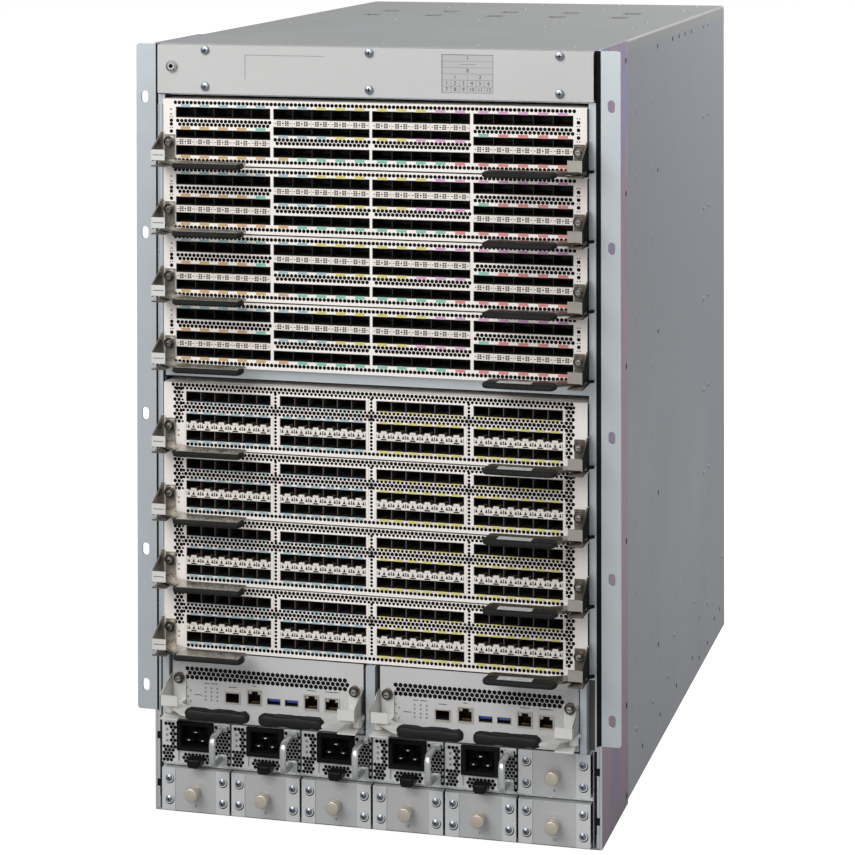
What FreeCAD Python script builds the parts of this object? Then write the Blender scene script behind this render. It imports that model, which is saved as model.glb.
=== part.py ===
"""Modular chassis switch: a rack chassis with eight line cards, two management modules, a power shelf
with five supplies and seven fillers, and two rear fan trays.

Millimetres. X runs to the right as seen from the front, Y from front to back, Z up. The origin is the
centre of the chassis footprint, on the surface the chassis stands on. "Reach" below is a distance in
front of the rack-flange plane, towards -Y. A "rise" is a height above a module's own lower edge.
"""
import FreeCAD
import Part
import math
import os

# ---- Chassis shell -------------------------------------------------------------------------------
chassis_width = 442.0
chassis_height = 753.0
chassis_depth = 780.0
side_sheet = 1.5
cover_sheet = 1.5
cover_lap = 12.0
cover_bend_radius = 3.0
base_sheet = 2.0
base_leg_height = 14.0
fit_gap = 0.3                      # running gap between a module and what guides it
small_round_sides = 10             # small rounds that repeat many times are many-sided, to keep them light
fan_round_sides = 24

# Slots in the top cover
cover_slot_width = 20.0
cover_slot_length = 28.0
cover_slot_pitch = 72.0
cover_slot_columns = 5
cover_slot_row_depths = (508.0, 586.0)    # from the flange plane

# Outlet slots in the rear wall of the base pan
outlet_slot_width = 8.0
outlet_slot_height = 62.0
outlet_slot_count = 14
outlet_end_margin = 24.5           # from the side sheet to the middle of the outermost slot

# ---- Rack flanges --------------------------------------------------------------------------------
flange_ear_width = 20.3
rack_slot_inset = 8.75             # from the ear's outer edge to the slots' middle
rack_unit = 44.45
flange_sheet = 2.0
flange_foot_rise = 98.0
flange_head_drop = 1.0
flange_leg_depth = 133.0
flange_corner_radius = 3.0
rack_slot_width = 6.8
rack_slot_length = 12.0
first_rack_slot_z = 122.0
rack_slot_head_room = 45.0         # least room above the middle of the uppermost slot
rack_slots_from_foot = (0, 3, 6)          # in rack units above the lowest slot
rack_slots_from_head = (3, 0)             # in rack units below the uppermost slot

# ---- Header panel --------------------------------------------------------------------------------
header_reach = 6.5
header_sheet = 1.5
header_side_gap = 2.7
header_height = 47.2
header_return = 30.0
header_lower_return = 12.0
label_recess_depth = 0.8
name_recess = (-87.0, 26.7, 80.0, 24.0)         # centre x, rise of the centre, width, height
map_recess = (95.2, 24.2, 51.0, 37.0)
ground_jack_inset = 14.8
ground_jack_rise = 26.7
ground_jack_radius = 5.5
ground_jack_bore = 2.2
ground_jack_length = 3.0
left_screw_inset = 49.3
middle_screw_x = -1.6
right_screw_inset = 32.1
lower_screw_rise = 7.2
upper_screw_rise = 42.7
screw_head_radius = 4.0
screw_head_height = 2.2

# ---- Module faces --------------------------------------------------------------------------------
face_reach = 7.0
face_sheet = 1.5

# ---- Line cards ----------------------------------------------------------------------------------
cards_per_stack = 4
card_gap = 1.5                     # between neighbouring cards
card_side_gap = 0.5                # to the cage's posts
header_gap = 3.9                   # above the upper stack's last place
card_top_return = 35.0
tray_inset = 1.7
tray_rise = 2.5
tray_sheet = 2.5
tray_side_height = 12.0
tray_side_sheet = 1.5
cage_depth = 50.0
port_depth = 47.0
cage_top_drop = 5.5                # below the card's upper edge
cage_inset = 10.7
sink_width = 120.0
sink_length = 140.0
sink_height = 38.0
sink_base = 6.0
sink_fins = 5
sink_fin_width = 9.0
sink_y = -150.0
connector_width = 60.0
connector_height = 40.0
connector_length = 12.0
connector_gap = 3.0                # to the midplane
connector_columns = (-140.0, 0.0, 140.0)

# Port openings, four groups across a card: the gaps beside the groups, and the rows' edges
large_row_rise = 9.7               # lower edge of the lowest row
large_row_drop = 17.7              # lower edge of the uppermost row, below the card's upper edge
large_lowest_height = 9.1
large_middle_height = 7.8
large_highest_height = 9.8
large_row_gap = 7.5                # from a middle row to the row it is paired with
large_end_margin = 2.7
large_group_gap = 3.7
large_centre_gap = 3.2
small_row_rise = 8.7
small_row_drop = 17.5
small_lowest_height = 9.3
small_middle_height = 7.8
small_highest_height = 9.2
small_row_gap = 8.4
small_end_margin = 12.9
small_group_gap = 10.0
small_centre_gap = 11.0
small_frame_margin = 2.8
small_frame_lap = 1.4              # of the frame above and below the rows
small_frame_height = 0.6

# ---- Ejector brackets and levers -----------------------------------------------------------------
pin_radius = 2.5
pin_clearance = 0.05
bracket_sheet = 1.4
tag_sheet = 1.5
lever_gap = 0.5                     # between the lever and the plates above and below it
pin_stand_out = 0.6                 # of the hinge pin above the lever
eye_wall = 2.3                      # of the lever's eye, before and behind the pin
eye_outer_wall = 1.1                # of the eye beside the pin, flush with the cheek
eye_chamfer = 1.5
arm_heel = 3.5                      # where the arm leaves the eye, inside the hinge
arm_run = 6.0                       # of the arm's slant past the blade's start
blade_corner = 3.0
blade_shoulder = 9.0                # of the blade's outer front corner
toe_root = 3.5
toe_chamfer = 0.8                   # share of the toe's half width
sleeve_wall = 2.0                   # of the spacer sleeve round the pin, where the lever stands high
toe_notch = 6.0                     # clear room for the toe, inside the hinge

card_ejector = {
    "hinge_inset": 2.2,             # hinge axis inside the module's edge
    "hinge_reach": 13.0,
    "floor_rise": 0.8,
    "lever_rise": 3.0,
    "lever_sheet": 2.5,
    "bracket_reach": 37.5,
    "tag_width": 14.0,
    "tag_bottom": 7.1,
    "tag_top": 17.5,
    "cheek_shoulder": 32.0,
    "toe_reach": 10.2,
    "toe_radius": 1.5,
    "toe_angle": 39.0,
    "blade_start": 25.5,
    "grip_stop": 120.0,             # from the module's middle to the grip's inner end
    "blade_back": 8.0,
    "blade_front": 24.0,
    "grip_depth": 7.0,
    "grip_bottom": 0.8,
    "grip_top": 6.0,
    "grip_waves": 0,
    "tab_top": 29.5,
    "tab_width": 10.0,
}
module_ejector = {
    "hinge_inset": 2.2,
    "hinge_reach": 20.0,
    "floor_rise": 8.5,
    "lever_rise": 17.0,
    "lever_sheet": 3.0,
    "bracket_reach": 39.5,
    "tag_width": 18.0,
    "tag_bottom": 22.0,
    "tag_top": 32.0,
    "cheek_shoulder": 45.0,
    "toe_reach": 6.4,
    "toe_radius": 1.3,
    "toe_angle": 39.0,
    "blade_start": 30.0,
    "grip_stop": 6.5,
    "blade_back": 16.0,
    "blade_front": 31.0,
    "grip_depth": 9.0,
    "grip_bottom": 14.5,
    "grip_top": 24.5,
    "grip_waves": 2,
    "tab_top": 45.0,
    "tab_width": 12.0,
}
tab_sheet = 1.5
grip_wave_depth = 1.3

# ---- Card cage -----------------------------------------------------------------------------------
cage_side_gap = 1.5
cage_wall_sheet = 1.5
post_width = 5.3
post_reach = 1.0
post_depth = 3.0
cage_top_gap = 1.3                 # below the header
cage_top_sheet = 1.5
beam_height = 10.1
beam_gap_below = 4.0
beam_gap_above = 0.8
beam_reach = 0.0
beam_depth = 20.0
divider_sheet = 1.5
card_guide_sheet = 1.8
card_guide_width = 13.5
cage_front_setback = 10.0

# ---- Management modules --------------------------------------------------------------------------
module_inner_gap = 3.85            # from the centre post to a module's edge
module_height = 66.5
module_length = 360.0
module_rail_reach = 12.0
centre_post_half = 4.5
outer_rail_width = 6.2
outer_rail_gap = 0.65              # from the rail to the card post's inner edge
rail_depth = 14.0
module_lip_rise = 12.3
module_lip_step = 1.0
module_lip_inset = 4.0
module_box_inset = 2.0
module_box_height = 58.0
module_connector_inset = 30.0
# Sockets: centre x from the module's centre, rise of the lower edge, width, height, depth
fibre_socket = (-35.2, 19.8, 13.4, 9.0, 40.0)
jack_sockets = (
    (-12.9, 20.0, 12.6, 12.6, 20.0),
    (44.8, 20.0, 12.6, 12.6, 20.0),
    (65.6, 20.0, 12.6, 11.0, 20.0),
)
usb_sockets = ((6.8, 21.0, 13.0, 5.6, 16.0), (24.8, 21.0, 13.0, 5.6, 16.0))
usb_tongue = 2.0
usb_tongue_inset = 1.0
usb_tongue_setback = 2.0

# ---- Power shelf ---------------------------------------------------------------------------------
bay_columns = 6
bay_side_gap = 5.15                # from the side sheet to the middle of the outermost bay wall
bay_wall = 1.2
supply_side_gap = 0.525
supply_height = 41.6
lower_bay_bottom = 3.4
upper_bay_bottom = 50.0
shelf_nosing = 4.0
shelf_nosing_depth = 6.0
shelf_sheet = 1.3
shelf_depth = 330.0
shelf_setback = 2.0                # of the bay walls behind the flange plane
ledge_width = 20.0
ledge_setback = 8.0
supply_back_gap = 18.0             # from the supply's contact tongue to the shelf's back plate
supply_tongue = 12.0
supply_tongue_inset = 6.0
supply_tongue_rise = 12.0
supply_tongue_height = 18.0
supply_count = 5
inlet_width = 36.8
inlet_height = 28.0
inlet_reach = 3.0
inlet_socket_width = 28.0
inlet_socket_height = 20.0
inlet_socket_depth = 18.0
inlet_pin = (8.0, 2.0, 14.0)              # width, height, length
inlet_pin_places = ((0.0, 3.6), (-7.0, -4.4), (7.0, -4.4))
handle_inset = 7.1                 # from the supply's edge to the handle's middle
handle_width = 5.0
handle_strip = 2.2
handle_reach = 31.0
handle_bottom = 8.0
handle_top = 38.5
handle_radius = 7.0
latch_width = 14.0
latch_reach = 14.0
latch_height = 6.0
latch_rise = 1.6
latch_x = 2.0
latch_corner = 3.0

# Fillers
filler_depth = 60.0
filler_sheet = 1.5
filler_strip = 13.5
filler_strip_height = 0.8
knob_radius = 6.2
knob_length = 9.0
knob_stem_radius = 4.2
knob_reach = 15.0

# ---- Midplane and fabric modules -----------------------------------------------------------------
midplane_thickness = 5.0
midplane_setback = 485.0                 # from the flange plane to its front face
fabric_count = 6
fabric_pitch = 70.0
fabric_board = 3.0
fabric_length = 150.0
fabric_foot_gap = 16.8
fabric_head_gap = 13.0

# ---- Fan trays -----------------------------------------------------------------------------------
tray_fan_count = 2
fan_pitch = 318.0
fan_rim = 9.45                     # least width of the shroud beside a fan
fan_shroud_depth = 62.0
fan_hub_radius = 38.0
fan_hub_depth = 34.0
fan_blades = 7
fan_blade_root = 4.0                     # blade sunk into the hub
fan_blade_chord = 50.0
fan_blade_sheet = 2.2
fan_blade_pitch_angle = 32.0
fan_tip_gap = 2.0
fan_tip_cut = 4.0                  # of a blade's flat end, so that its corners clear the shroud
rotor_gap = 1.0
spider_sheet = 4.0
spider_arm = 10.0
axle_radius = 4.0
tray_handle_length = 110.0
tray_handle_reach = 32.0
tray_handle_bar = 8.0

# ---- Derived places ------------------------------------------------------------------------------
front_y = -chassis_depth / 2.0
back_y = chassis_depth / 2.0
half_width = chassis_width / 2.0
inner_half = half_width - side_sheet
cover_underside = chassis_height - cover_sheet
pocket_start = face_reach + 1.0

# From the side sheets inward
header_half_width = inner_half - header_side_gap
cage_wall_half = inner_half - cage_side_gap - cage_wall_sheet
post_inner_half = cage_wall_half - post_width
card_guide_half = cage_wall_half - card_guide_width
card_half_width = post_inner_half - card_side_gap
tray_half_width = card_half_width - tray_inset
cage_half_width = card_half_width - cage_inset
outer_rail_outer = post_inner_half - outer_rail_gap
outer_rail_inner = outer_rail_outer - outer_rail_width
module_outer_edge = outer_rail_inner - bracket_sheet - 2.0 * fit_gap
module_inner_edge = centre_post_half + module_inner_gap
module_centre = (module_outer_edge + module_inner_edge) / 2.0
module_half_width = (module_outer_edge - module_inner_edge) / 2.0
bay_pitch = 2.0 * (inner_half - bay_side_gap) / bay_columns
supply_width = bay_pitch - bay_wall - 2.0 * supply_side_gap
handle_x = supply_width / 2.0 - handle_inset
fan_radius = (inner_half - 2.0 * fit_gap) / 2.0 - fan_rim
outlet_slot_pitch = 2.0 * (inner_half - outlet_end_margin) / (outlet_slot_count - 1)

# From the floor up, and from the cover down
bay_top_plate = upper_bay_bottom + supply_height + fit_gap
tray_bottom = bay_top_plate + shelf_sheet
module_bottom = tray_bottom + fit_gap
cage_floor = module_bottom + module_height + fit_gap
lower_stack_bottom = cage_floor + divider_sheet - fit_gap
header_bottom = cover_underside - header_height
cage_top = header_bottom - cage_top_gap
beam_zone = beam_gap_below + beam_height + beam_gap_above
card_pitch = (header_bottom - header_gap - beam_zone - lower_stack_bottom) / (2.0 * cards_per_stack)
card_height = card_pitch - card_gap
beam_bottom = lower_stack_bottom + cards_per_stack * card_pitch + beam_gap_below
beam_top = beam_bottom + beam_height
upper_stack_bottom = beam_top + beam_gap_above
cage_top_rise = card_height - cage_top_drop
fabric_bottom = tray_bottom + fabric_foot_gap
fabric_top = cage_top - fabric_head_gap
fan_tray_height = cover_underside - tray_bottom - 2.0 * fit_gap
flange_top = chassis_height - flange_head_drop
rack_units_spanned = math.floor((flange_top - rack_slot_head_room - first_rack_slot_z) / rack_unit)

# From the front back
card_length = midplane_setback - connector_gap - connector_length
supply_length = shelf_depth - supply_back_gap - supply_tongue


def reach(distance):
    """The y of a point this far in front of the rack-flange plane."""
    return front_y - distance


def box(x0, x1, y0, y1, z0, z1):
    """A box between two opposite corners, given in any order."""
    low = FreeCAD.Vector(min(x0, x1), min(y0, y1), min(z0, z1))
    return Part.makeBox(abs(x1 - x0), abs(y1 - y0), abs(z1 - z0), low)


def prism(points, direction):
    """A straight prism of the closed outline, swept by the vector."""
    corners = [FreeCAD.Vector(*p) for p in points]
    face = Part.Face(Part.makePolygon(corners + [corners[0]]))
    return face.extrude(FreeCAD.Vector(*direction))


def rod(radius, start, direction, length):
    """A round rod from a start point."""
    return Part.makeCylinder(radius, length, FreeCAD.Vector(*start), FreeCAD.Vector(*direction))


def sided_rod(radius, sides, start, direction, length, around=False):
    """A many-sided rod along y or z: inside the round of that radius, or around it."""
    if around:
        radius = radius / math.cos(math.pi / sides)
    corners = []
    for k in range(sides):
        angle = 2.0 * math.pi * (k + 0.5) / sides
        along_x = radius * math.cos(angle)
        across = radius * math.sin(angle)
        if direction[2]:
            corners.append((start[0] + along_x, start[1] + across, start[2]))
        else:
            corners.append((start[0] + along_x, start[1], start[2] + across))
    return prism(corners, [length * part for part in direction])


def small_rod(radius, start, direction, length):
    """A small round that repeats many times."""
    return sided_rod(radius, small_round_sides, start, direction, length)


def fuse(shapes):
    """One clean solid of touching shapes."""
    return shapes[0].multiFuse(shapes[1:]).removeSplitter()


def mirrored(shape):
    """The other hand, through the plane x = 0."""
    return shape.mirror(FreeCAD.Vector(0, 0, 0), FreeCAD.Vector(1, 0, 0))


def moved(shape, x, y, z):
    """A copy at another place."""
    copy = shape.copy()
    copy.translate(FreeCAD.Vector(x, y, z))
    return copy


def save(name, shape):
    """Write one sub-part as its own STEP file."""
    shape.exportStep(os.path.join("parts", name + ".step"))


# ---- Shell pieces --------------------------------------------------------------------------------
def top_cover():
    """A folded sheet: flat top, bent down over both sides, with two rows of slots."""
    lap_z = chassis_height - cover_lap
    outer = box(-half_width, half_width, front_y, back_y, lap_z, chassis_height)
    bends = [e for e in outer.Edges
             if abs(e.CenterOfMass.z - chassis_height) < 0.01 and abs(e.CenterOfMass.x) > half_width - 0.01]
    outer = outer.makeFillet(cover_bend_radius, bends)
    inner = box(-inner_half, inner_half, front_y, back_y, lap_z, cover_underside)
    cover = outer.cut(inner)
    slots = []
    first = -(cover_slot_columns - 1) / 2.0 * cover_slot_pitch
    for depth in cover_slot_row_depths:
        for column in range(cover_slot_columns):
            x = first + column * cover_slot_pitch
            slots.append(box(x - cover_slot_width / 2, x + cover_slot_width / 2,
                             front_y + depth - cover_slot_length / 2, front_y + depth + cover_slot_length / 2,
                             cover_underside - 1, chassis_height + 1))
    return cover.cut(slots)


def side_panel():
    """The right-hand side sheet, between the floor and the cover's lap."""
    return box(inner_half, half_width, front_y, back_y, 0, chassis_height - cover_lap)


def base_pan():
    """The folded floor: two side legs, and a rear wall with outlet slots."""
    floor = box(-inner_half, inner_half, front_y, back_y, 0, base_sheet)
    leg = box(inner_half - base_sheet, inner_half, front_y, back_y, 0, base_leg_height)
    rear = box(-inner_half, inner_half, back_y - base_sheet, back_y, 0, bay_top_plate)
    slots = []
    first = -(outlet_slot_count - 1) / 2.0 * outlet_slot_pitch
    slot_z = (bay_top_plate + base_sheet) / 2.0
    for k in range(outlet_slot_count):
        x = first + k * outlet_slot_pitch
        slots.append(box(x - outlet_slot_width / 2, x + outlet_slot_width / 2,
                         back_y - base_sheet - 1, back_y + 1,
                         slot_z - outlet_slot_height / 2, slot_z + outlet_slot_height / 2))
    return fuse([floor, leg, mirrored(leg), rear.cut(slots)])


def rack_flange():
    """The right-hand mounting bracket: an L of sheet with slots for the rack's studs."""
    ear_edge = half_width + flange_ear_width
    ear = box(half_width, ear_edge, front_y, front_y + flange_sheet, flange_foot_rise, flange_top)
    corners = [e for e in ear.Edges
               if abs(e.CenterOfMass.x - ear_edge) < 0.01
               and abs(e.Vertexes[0].Point.y - e.Vertexes[-1].Point.y) > 0.1]
    ear = ear.makeFillet(flange_corner_radius, corners)
    leg = box(half_width, half_width + flange_sheet, front_y, front_y + flange_leg_depth, 0, chassis_height)
    cuts = []
    straight = (rack_slot_length - rack_slot_width) / 2.0
    x = ear_edge - rack_slot_inset
    steps = list(rack_slots_from_foot) + [rack_units_spanned - units for units in rack_slots_from_head]
    for units in steps:
        z = first_rack_slot_z + units * rack_unit
        cuts.append(box(x - rack_slot_width / 2, x + rack_slot_width / 2, front_y - 1,
                        front_y + flange_sheet + 1, z - straight, z + straight))
        for end in (z - straight, z + straight):
            cuts.append(rod(rack_slot_width / 2, (x, front_y - 1, end), (0, 1, 0), flange_sheet + 2))
    return fuse([ear.cut(cuts), leg])


def header_panel():
    """The folded panel over the card cage, with two label recesses and a ground jack."""
    face_y = reach(header_reach)
    back = face_y + header_sheet
    panel = box(-header_half_width, header_half_width, face_y, back, header_bottom, cover_underside)
    top = box(-header_half_width, header_half_width, face_y, face_y + header_return,
              cover_underside - header_sheet, cover_underside)
    bottom = box(-header_half_width, header_half_width, face_y, face_y + header_lower_return,
                 header_bottom, header_bottom + header_sheet)
    jack_x = ground_jack_inset - header_half_width
    jack_z = header_bottom + ground_jack_rise
    jack = rod(ground_jack_radius, (jack_x, face_y - ground_jack_length, jack_z), (0, 1, 0),
               ground_jack_length + header_sheet)
    body = fuse([panel, top, bottom, jack])
    cuts = [rod(ground_jack_bore, (jack_x, face_y - ground_jack_length - 1, jack_z), (0, 1, 0),
                ground_jack_length + header_sheet)]
    for x, rise, width, height in (name_recess, map_recess):
        z = header_bottom + rise
        cuts.append(box(x - width / 2, x + width / 2, face_y - 1, face_y + label_recess_depth,
                        z - height / 2, z + height / 2))
    return body.cut(cuts)


def header_screws():
    """Six pan-head screws, seated on the header panel's face."""
    heads = []
    head_y = reach(header_reach + screw_head_height)
    for x in (left_screw_inset - header_half_width, middle_screw_x, header_half_width - right_screw_inset):
        for rise in (lower_screw_rise, upper_screw_rise):
            start = (x, head_y, header_bottom + rise)
            heads.append(small_rod(screw_head_radius, start, (0, 1, 0), screw_head_height))
    return Part.makeCompound(heads)


# ---- Card cage -----------------------------------------------------------------------------------
def card_bottoms():
    """The lower edge of each line card, from the top card down."""
    bottoms = []
    for stack in (upper_stack_bottom, lower_stack_bottom):
        bottoms += [stack + k * card_pitch for k in reversed(range(cards_per_stack))]
    return bottoms


def card_cage():
    """Folded side walls with front posts, card guides and the mid beam; the module rails are solids apart."""
    back = front_y + midplane_setback
    start = front_y + cage_front_setback
    shapes = []
    rails = []
    for side in (1, -1):
        wall = box(side * cage_wall_half, side * (cage_wall_half + cage_wall_sheet), reach(post_reach), back,
                   tray_bottom, cage_top)
        post = box(side * post_inner_half, side * cage_wall_half, reach(post_reach),
                   reach(post_reach - post_depth), cage_floor, cage_top)
        rail = box(side * outer_rail_inner, side * outer_rail_outer, reach(module_rail_reach),
                   reach(module_rail_reach - rail_depth), tray_bottom, cage_floor)
        side_plate = box(side * outer_rail_inner, side * cage_wall_half, reach(-1),
                         reach(module_rail_reach - rail_depth), tray_bottom, cage_floor)
        shapes += [wall, post]
        rails.append(fuse([rail, side_plate]))
        for bottom in card_bottoms():
            guide_top = bottom + tray_rise - fit_gap
            shapes.append(box(side * card_guide_half, side * cage_wall_half, start, back,
                              guide_top - card_guide_sheet, guide_top))
    half = cage_wall_half
    shapes.append(box(-half, half, start, back, cage_top - cage_top_sheet, cage_top))
    shapes.append(box(-post_inner_half, post_inner_half, reach(beam_reach), reach(beam_reach - beam_depth),
                      beam_bottom, beam_top))
    shapes.append(box(-half, half, reach(beam_reach - beam_depth), back,
                      beam_top - divider_sheet, beam_top))
    shapes.append(box(-half, half, reach(-3), back, cage_floor, cage_floor + divider_sheet - fit_gap))
    centre_post = box(-centre_post_half, centre_post_half, reach(module_rail_reach),
                      reach(module_rail_reach - rail_depth), tray_bottom, cage_floor)
    divider = box(-divider_sheet / 2, divider_sheet / 2, reach(module_rail_reach - rail_depth), back,
                  tray_bottom, cage_floor)
    rails.append(fuse([centre_post, divider]))
    return Part.makeCompound([fuse(shapes)] + rails)


# ---- Ejectors ------------------------------------------------------------------------------------
def ejector_bracket(edge, p):
    """The fixed bracket at a module's right-hand edge: cheek, floor, tag plate and hinge pin."""
    hinge_x = edge - p["hinge_inset"]
    lever_top = p["lever_rise"] + p["lever_sheet"]
    root = face_reach - face_sheet
    cheek = prism([(edge, reach(root), p["floor_rise"]),
                   (edge, reach(p["bracket_reach"]), p["floor_rise"]),
                   (edge, reach(p["bracket_reach"]), p["tag_top"]),
                   (edge, reach(face_reach + 3.0), p["cheek_shoulder"]),
                   (edge, reach(root), p["cheek_shoulder"])], (bracket_sheet, 0, 0))
    tag = box(edge + bracket_sheet - p["tag_width"], edge + bracket_sheet, reach(p["bracket_reach"]),
              reach(p["bracket_reach"] - tag_sheet), p["tag_bottom"], p["tag_top"])
    floor = box(edge + bracket_sheet - p["tag_width"], edge + bracket_sheet, reach(face_reach),
                reach(p["bracket_reach"]), p["floor_rise"], p["floor_rise"] + bracket_sheet)
    pin = rod(pin_radius, (hinge_x, reach(p["hinge_reach"]), p["floor_rise"]), (0, 0, 1),
              lever_top + pin_stand_out - p["floor_rise"])
    swing_slot = box(edge - 1, edge + bracket_sheet + 1, reach(p["bracket_reach"] + 1), reach(0),
                     p["floor_rise"] + bracket_sheet, lever_top + lever_gap)
    return fuse([cheek.cut(swing_slot), tag, floor, pin])


def blade_outline(p, end):
    """The lever's plan: eye, arm and blade, inward from the hinge at the origin to the blade's end."""
    start = p["blade_start"]
    back, front = p["blade_back"], p["blade_front"]
    eye = pin_radius + eye_wall
    outer = pin_radius + eye_outer_wall
    tip = end - blade_corner
    shoulder = start - blade_shoulder
    return [(eye_chamfer - outer, eye), (-outer, eye - eye_chamfer), (-outer, eye_chamfer - eye),
            (eye_chamfer - outer, -eye), (arm_heel, -eye), (start + arm_run, back), (tip, back),
            (end, back + blade_corner), (end, front - blade_corner), (tip, front),
            (shoulder + blade_corner + 2.0, front), (shoulder, front - blade_corner)]


def wavy_grip(p, end):
    """The grip bar, with finger waves along its upper and lower edges where it has them."""
    start = p["blade_start"] - 3.0
    low, high = p["grip_bottom"], p["grip_top"]
    front = p["blade_front"] + 1.0
    upper = []
    lower = []
    steps = max(1, 4 * p["grip_waves"])
    for k in range(steps + 1):
        along = start + 3.0 + (end - start - 6.0) * k / steps
        wave = grip_wave_depth * math.sin(2.0 * math.pi * p["grip_waves"] * k / steps)
        upper.append((along, high - abs(wave) * 0.5 + wave * 0.5))
        lower.append((along, low + abs(wave) * 0.5 + wave * 0.2))
    middle_low = low + (high - low) * 0.3
    middle_high = low + (high - low) * 0.7
    outline = [(start, middle_high)] + upper + [(end, middle_high), (end, middle_low)]
    outline += lower[::-1] + [(start, middle_low)]
    points = [(-a, -(front - p["grip_depth"]), z) for a, z in outline]
    return prism(points, (0, -p["grip_depth"], 0))


def ejector_lever(edge, bottom, p):
    """The right-hand lever: toe and eye round the pin, arm, blade, finger grip and screw tab."""
    z0 = p["lever_rise"]
    end = edge - p["hinge_inset"] - p["grip_stop"]
    plate = prism([(-a, -b, z0) for a, b in blade_outline(p, end)], (0, 0, p["lever_sheet"]))
    angle = math.radians(p["toe_angle"])
    tip_x = p["toe_reach"] * math.cos(angle)
    tip_y = p["toe_reach"] * math.sin(angle)
    across_x = p["toe_radius"] * math.sin(angle)
    across_y = p["toe_radius"] * math.cos(angle)
    root_x = toe_root * math.sin(angle)
    root_y = toe_root * math.cos(angle)
    nose = (tip_x + across_y * toe_chamfer, tip_y + across_x * toe_chamfer, z0)
    toe = prism([(root_x, -root_y, z0), (tip_x + across_x, tip_y - across_y, z0), nose,
                 (tip_x - across_x, tip_y + across_y, z0), (-root_x, root_y, z0)], (0, 0, p["lever_sheet"]))
    tab_back = p["hinge_reach"] - face_reach - fit_gap
    tab = box(-p["tab_width"], 0, tab_back, tab_back - tab_sheet, z0, p["tab_top"])
    neck = box(-p["tab_width"], 0, tab_back, 0, z0, z0 + p["lever_sheet"])
    lever = fuse([plate, toe, tab, neck, wavy_grip(p, end)])
    sleeve_low = p["floor_rise"] + bracket_sheet + lever_gap
    if z0 - sleeve_low > p["lever_sheet"]:
        sleeve = small_rod(pin_radius + sleeve_wall, (0, 0, sleeve_low), (0, 0, 1), z0 - sleeve_low)
        lever = fuse([lever, sleeve])
    bore = rod(pin_radius + pin_clearance, (0, 0, 0), (0, 0, 1), p["tab_top"])
    lever = lever.cut(bore)
    return moved(lever, edge - p["hinge_inset"], reach(p["hinge_reach"]), bottom)


def both_brackets(half, p):
    """The pair of brackets on a module whose edges are at plus and minus half."""
    right = ejector_bracket(half, p)
    return [right, mirrored(right)]


# ---- Line cards ----------------------------------------------------------------------------------
def port_groups(large):
    """The half width of one port group, and the centres of the four groups across a card."""
    end, gap, centre_gap = small_end_margin, small_group_gap, small_centre_gap
    if large:
        end, gap, centre_gap = large_end_margin, large_group_gap, large_centre_gap
    half = (2.0 * (cage_half_width - end - gap) - centre_gap) / 8.0
    inner = centre_gap / 2.0 + half
    outer = cage_half_width - end - half
    return half, (-outer, -inner, inner, outer)


def port_rows(large, inner):
    """The rises of the lower and upper edge of each port row of a group."""
    if not large:
        lowest_top = small_row_rise + small_lowest_height
        middle = lowest_top + small_row_gap
        highest = card_height - small_row_drop
        return ((small_row_rise, lowest_top), (middle, middle + small_middle_height),
                (highest, highest + small_highest_height))
    lowest_top = large_row_rise + large_lowest_height
    highest = card_height - large_row_drop
    middle = lowest_top + large_row_gap
    if inner:
        middle = highest - large_row_gap - large_middle_height
    return ((large_row_rise, lowest_top), (middle, middle + large_middle_height),
            (highest, highest + large_highest_height))


def port_pockets(large):
    """The port openings: one per group of cages and row."""
    pockets = []
    half, centres = port_groups(large)
    back = reach(face_reach - port_depth)
    for group, centre in enumerate(centres):
        for low, high in port_rows(large, group in (1, 2)):
            pockets.append(box(centre - half, centre + half, reach(pocket_start), back, low, high))
    return pockets


def finned_sink():
    """The heat sink over the switching chips: a base with upright fins along the airflow."""
    base_z = tray_rise + tray_sheet
    gap = (sink_width - sink_fins * sink_fin_width) / (sink_fins - 1)
    points = [(-sink_width / 2, sink_y, base_z), (sink_width / 2, sink_y, base_z)]
    for k in reversed(range(sink_fins)):
        left = -sink_width / 2 + k * (sink_fin_width + gap)
        right = left + sink_fin_width
        points.append((right, sink_y, base_z + sink_height))
        points.append((left, sink_y, base_z + sink_height))
        if k > 0:
            points.append((left, sink_y, base_z + sink_base))
            points.append((left - gap, sink_y, base_z + sink_base))
    return prism(points, (0, sink_length, 0))


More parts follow.
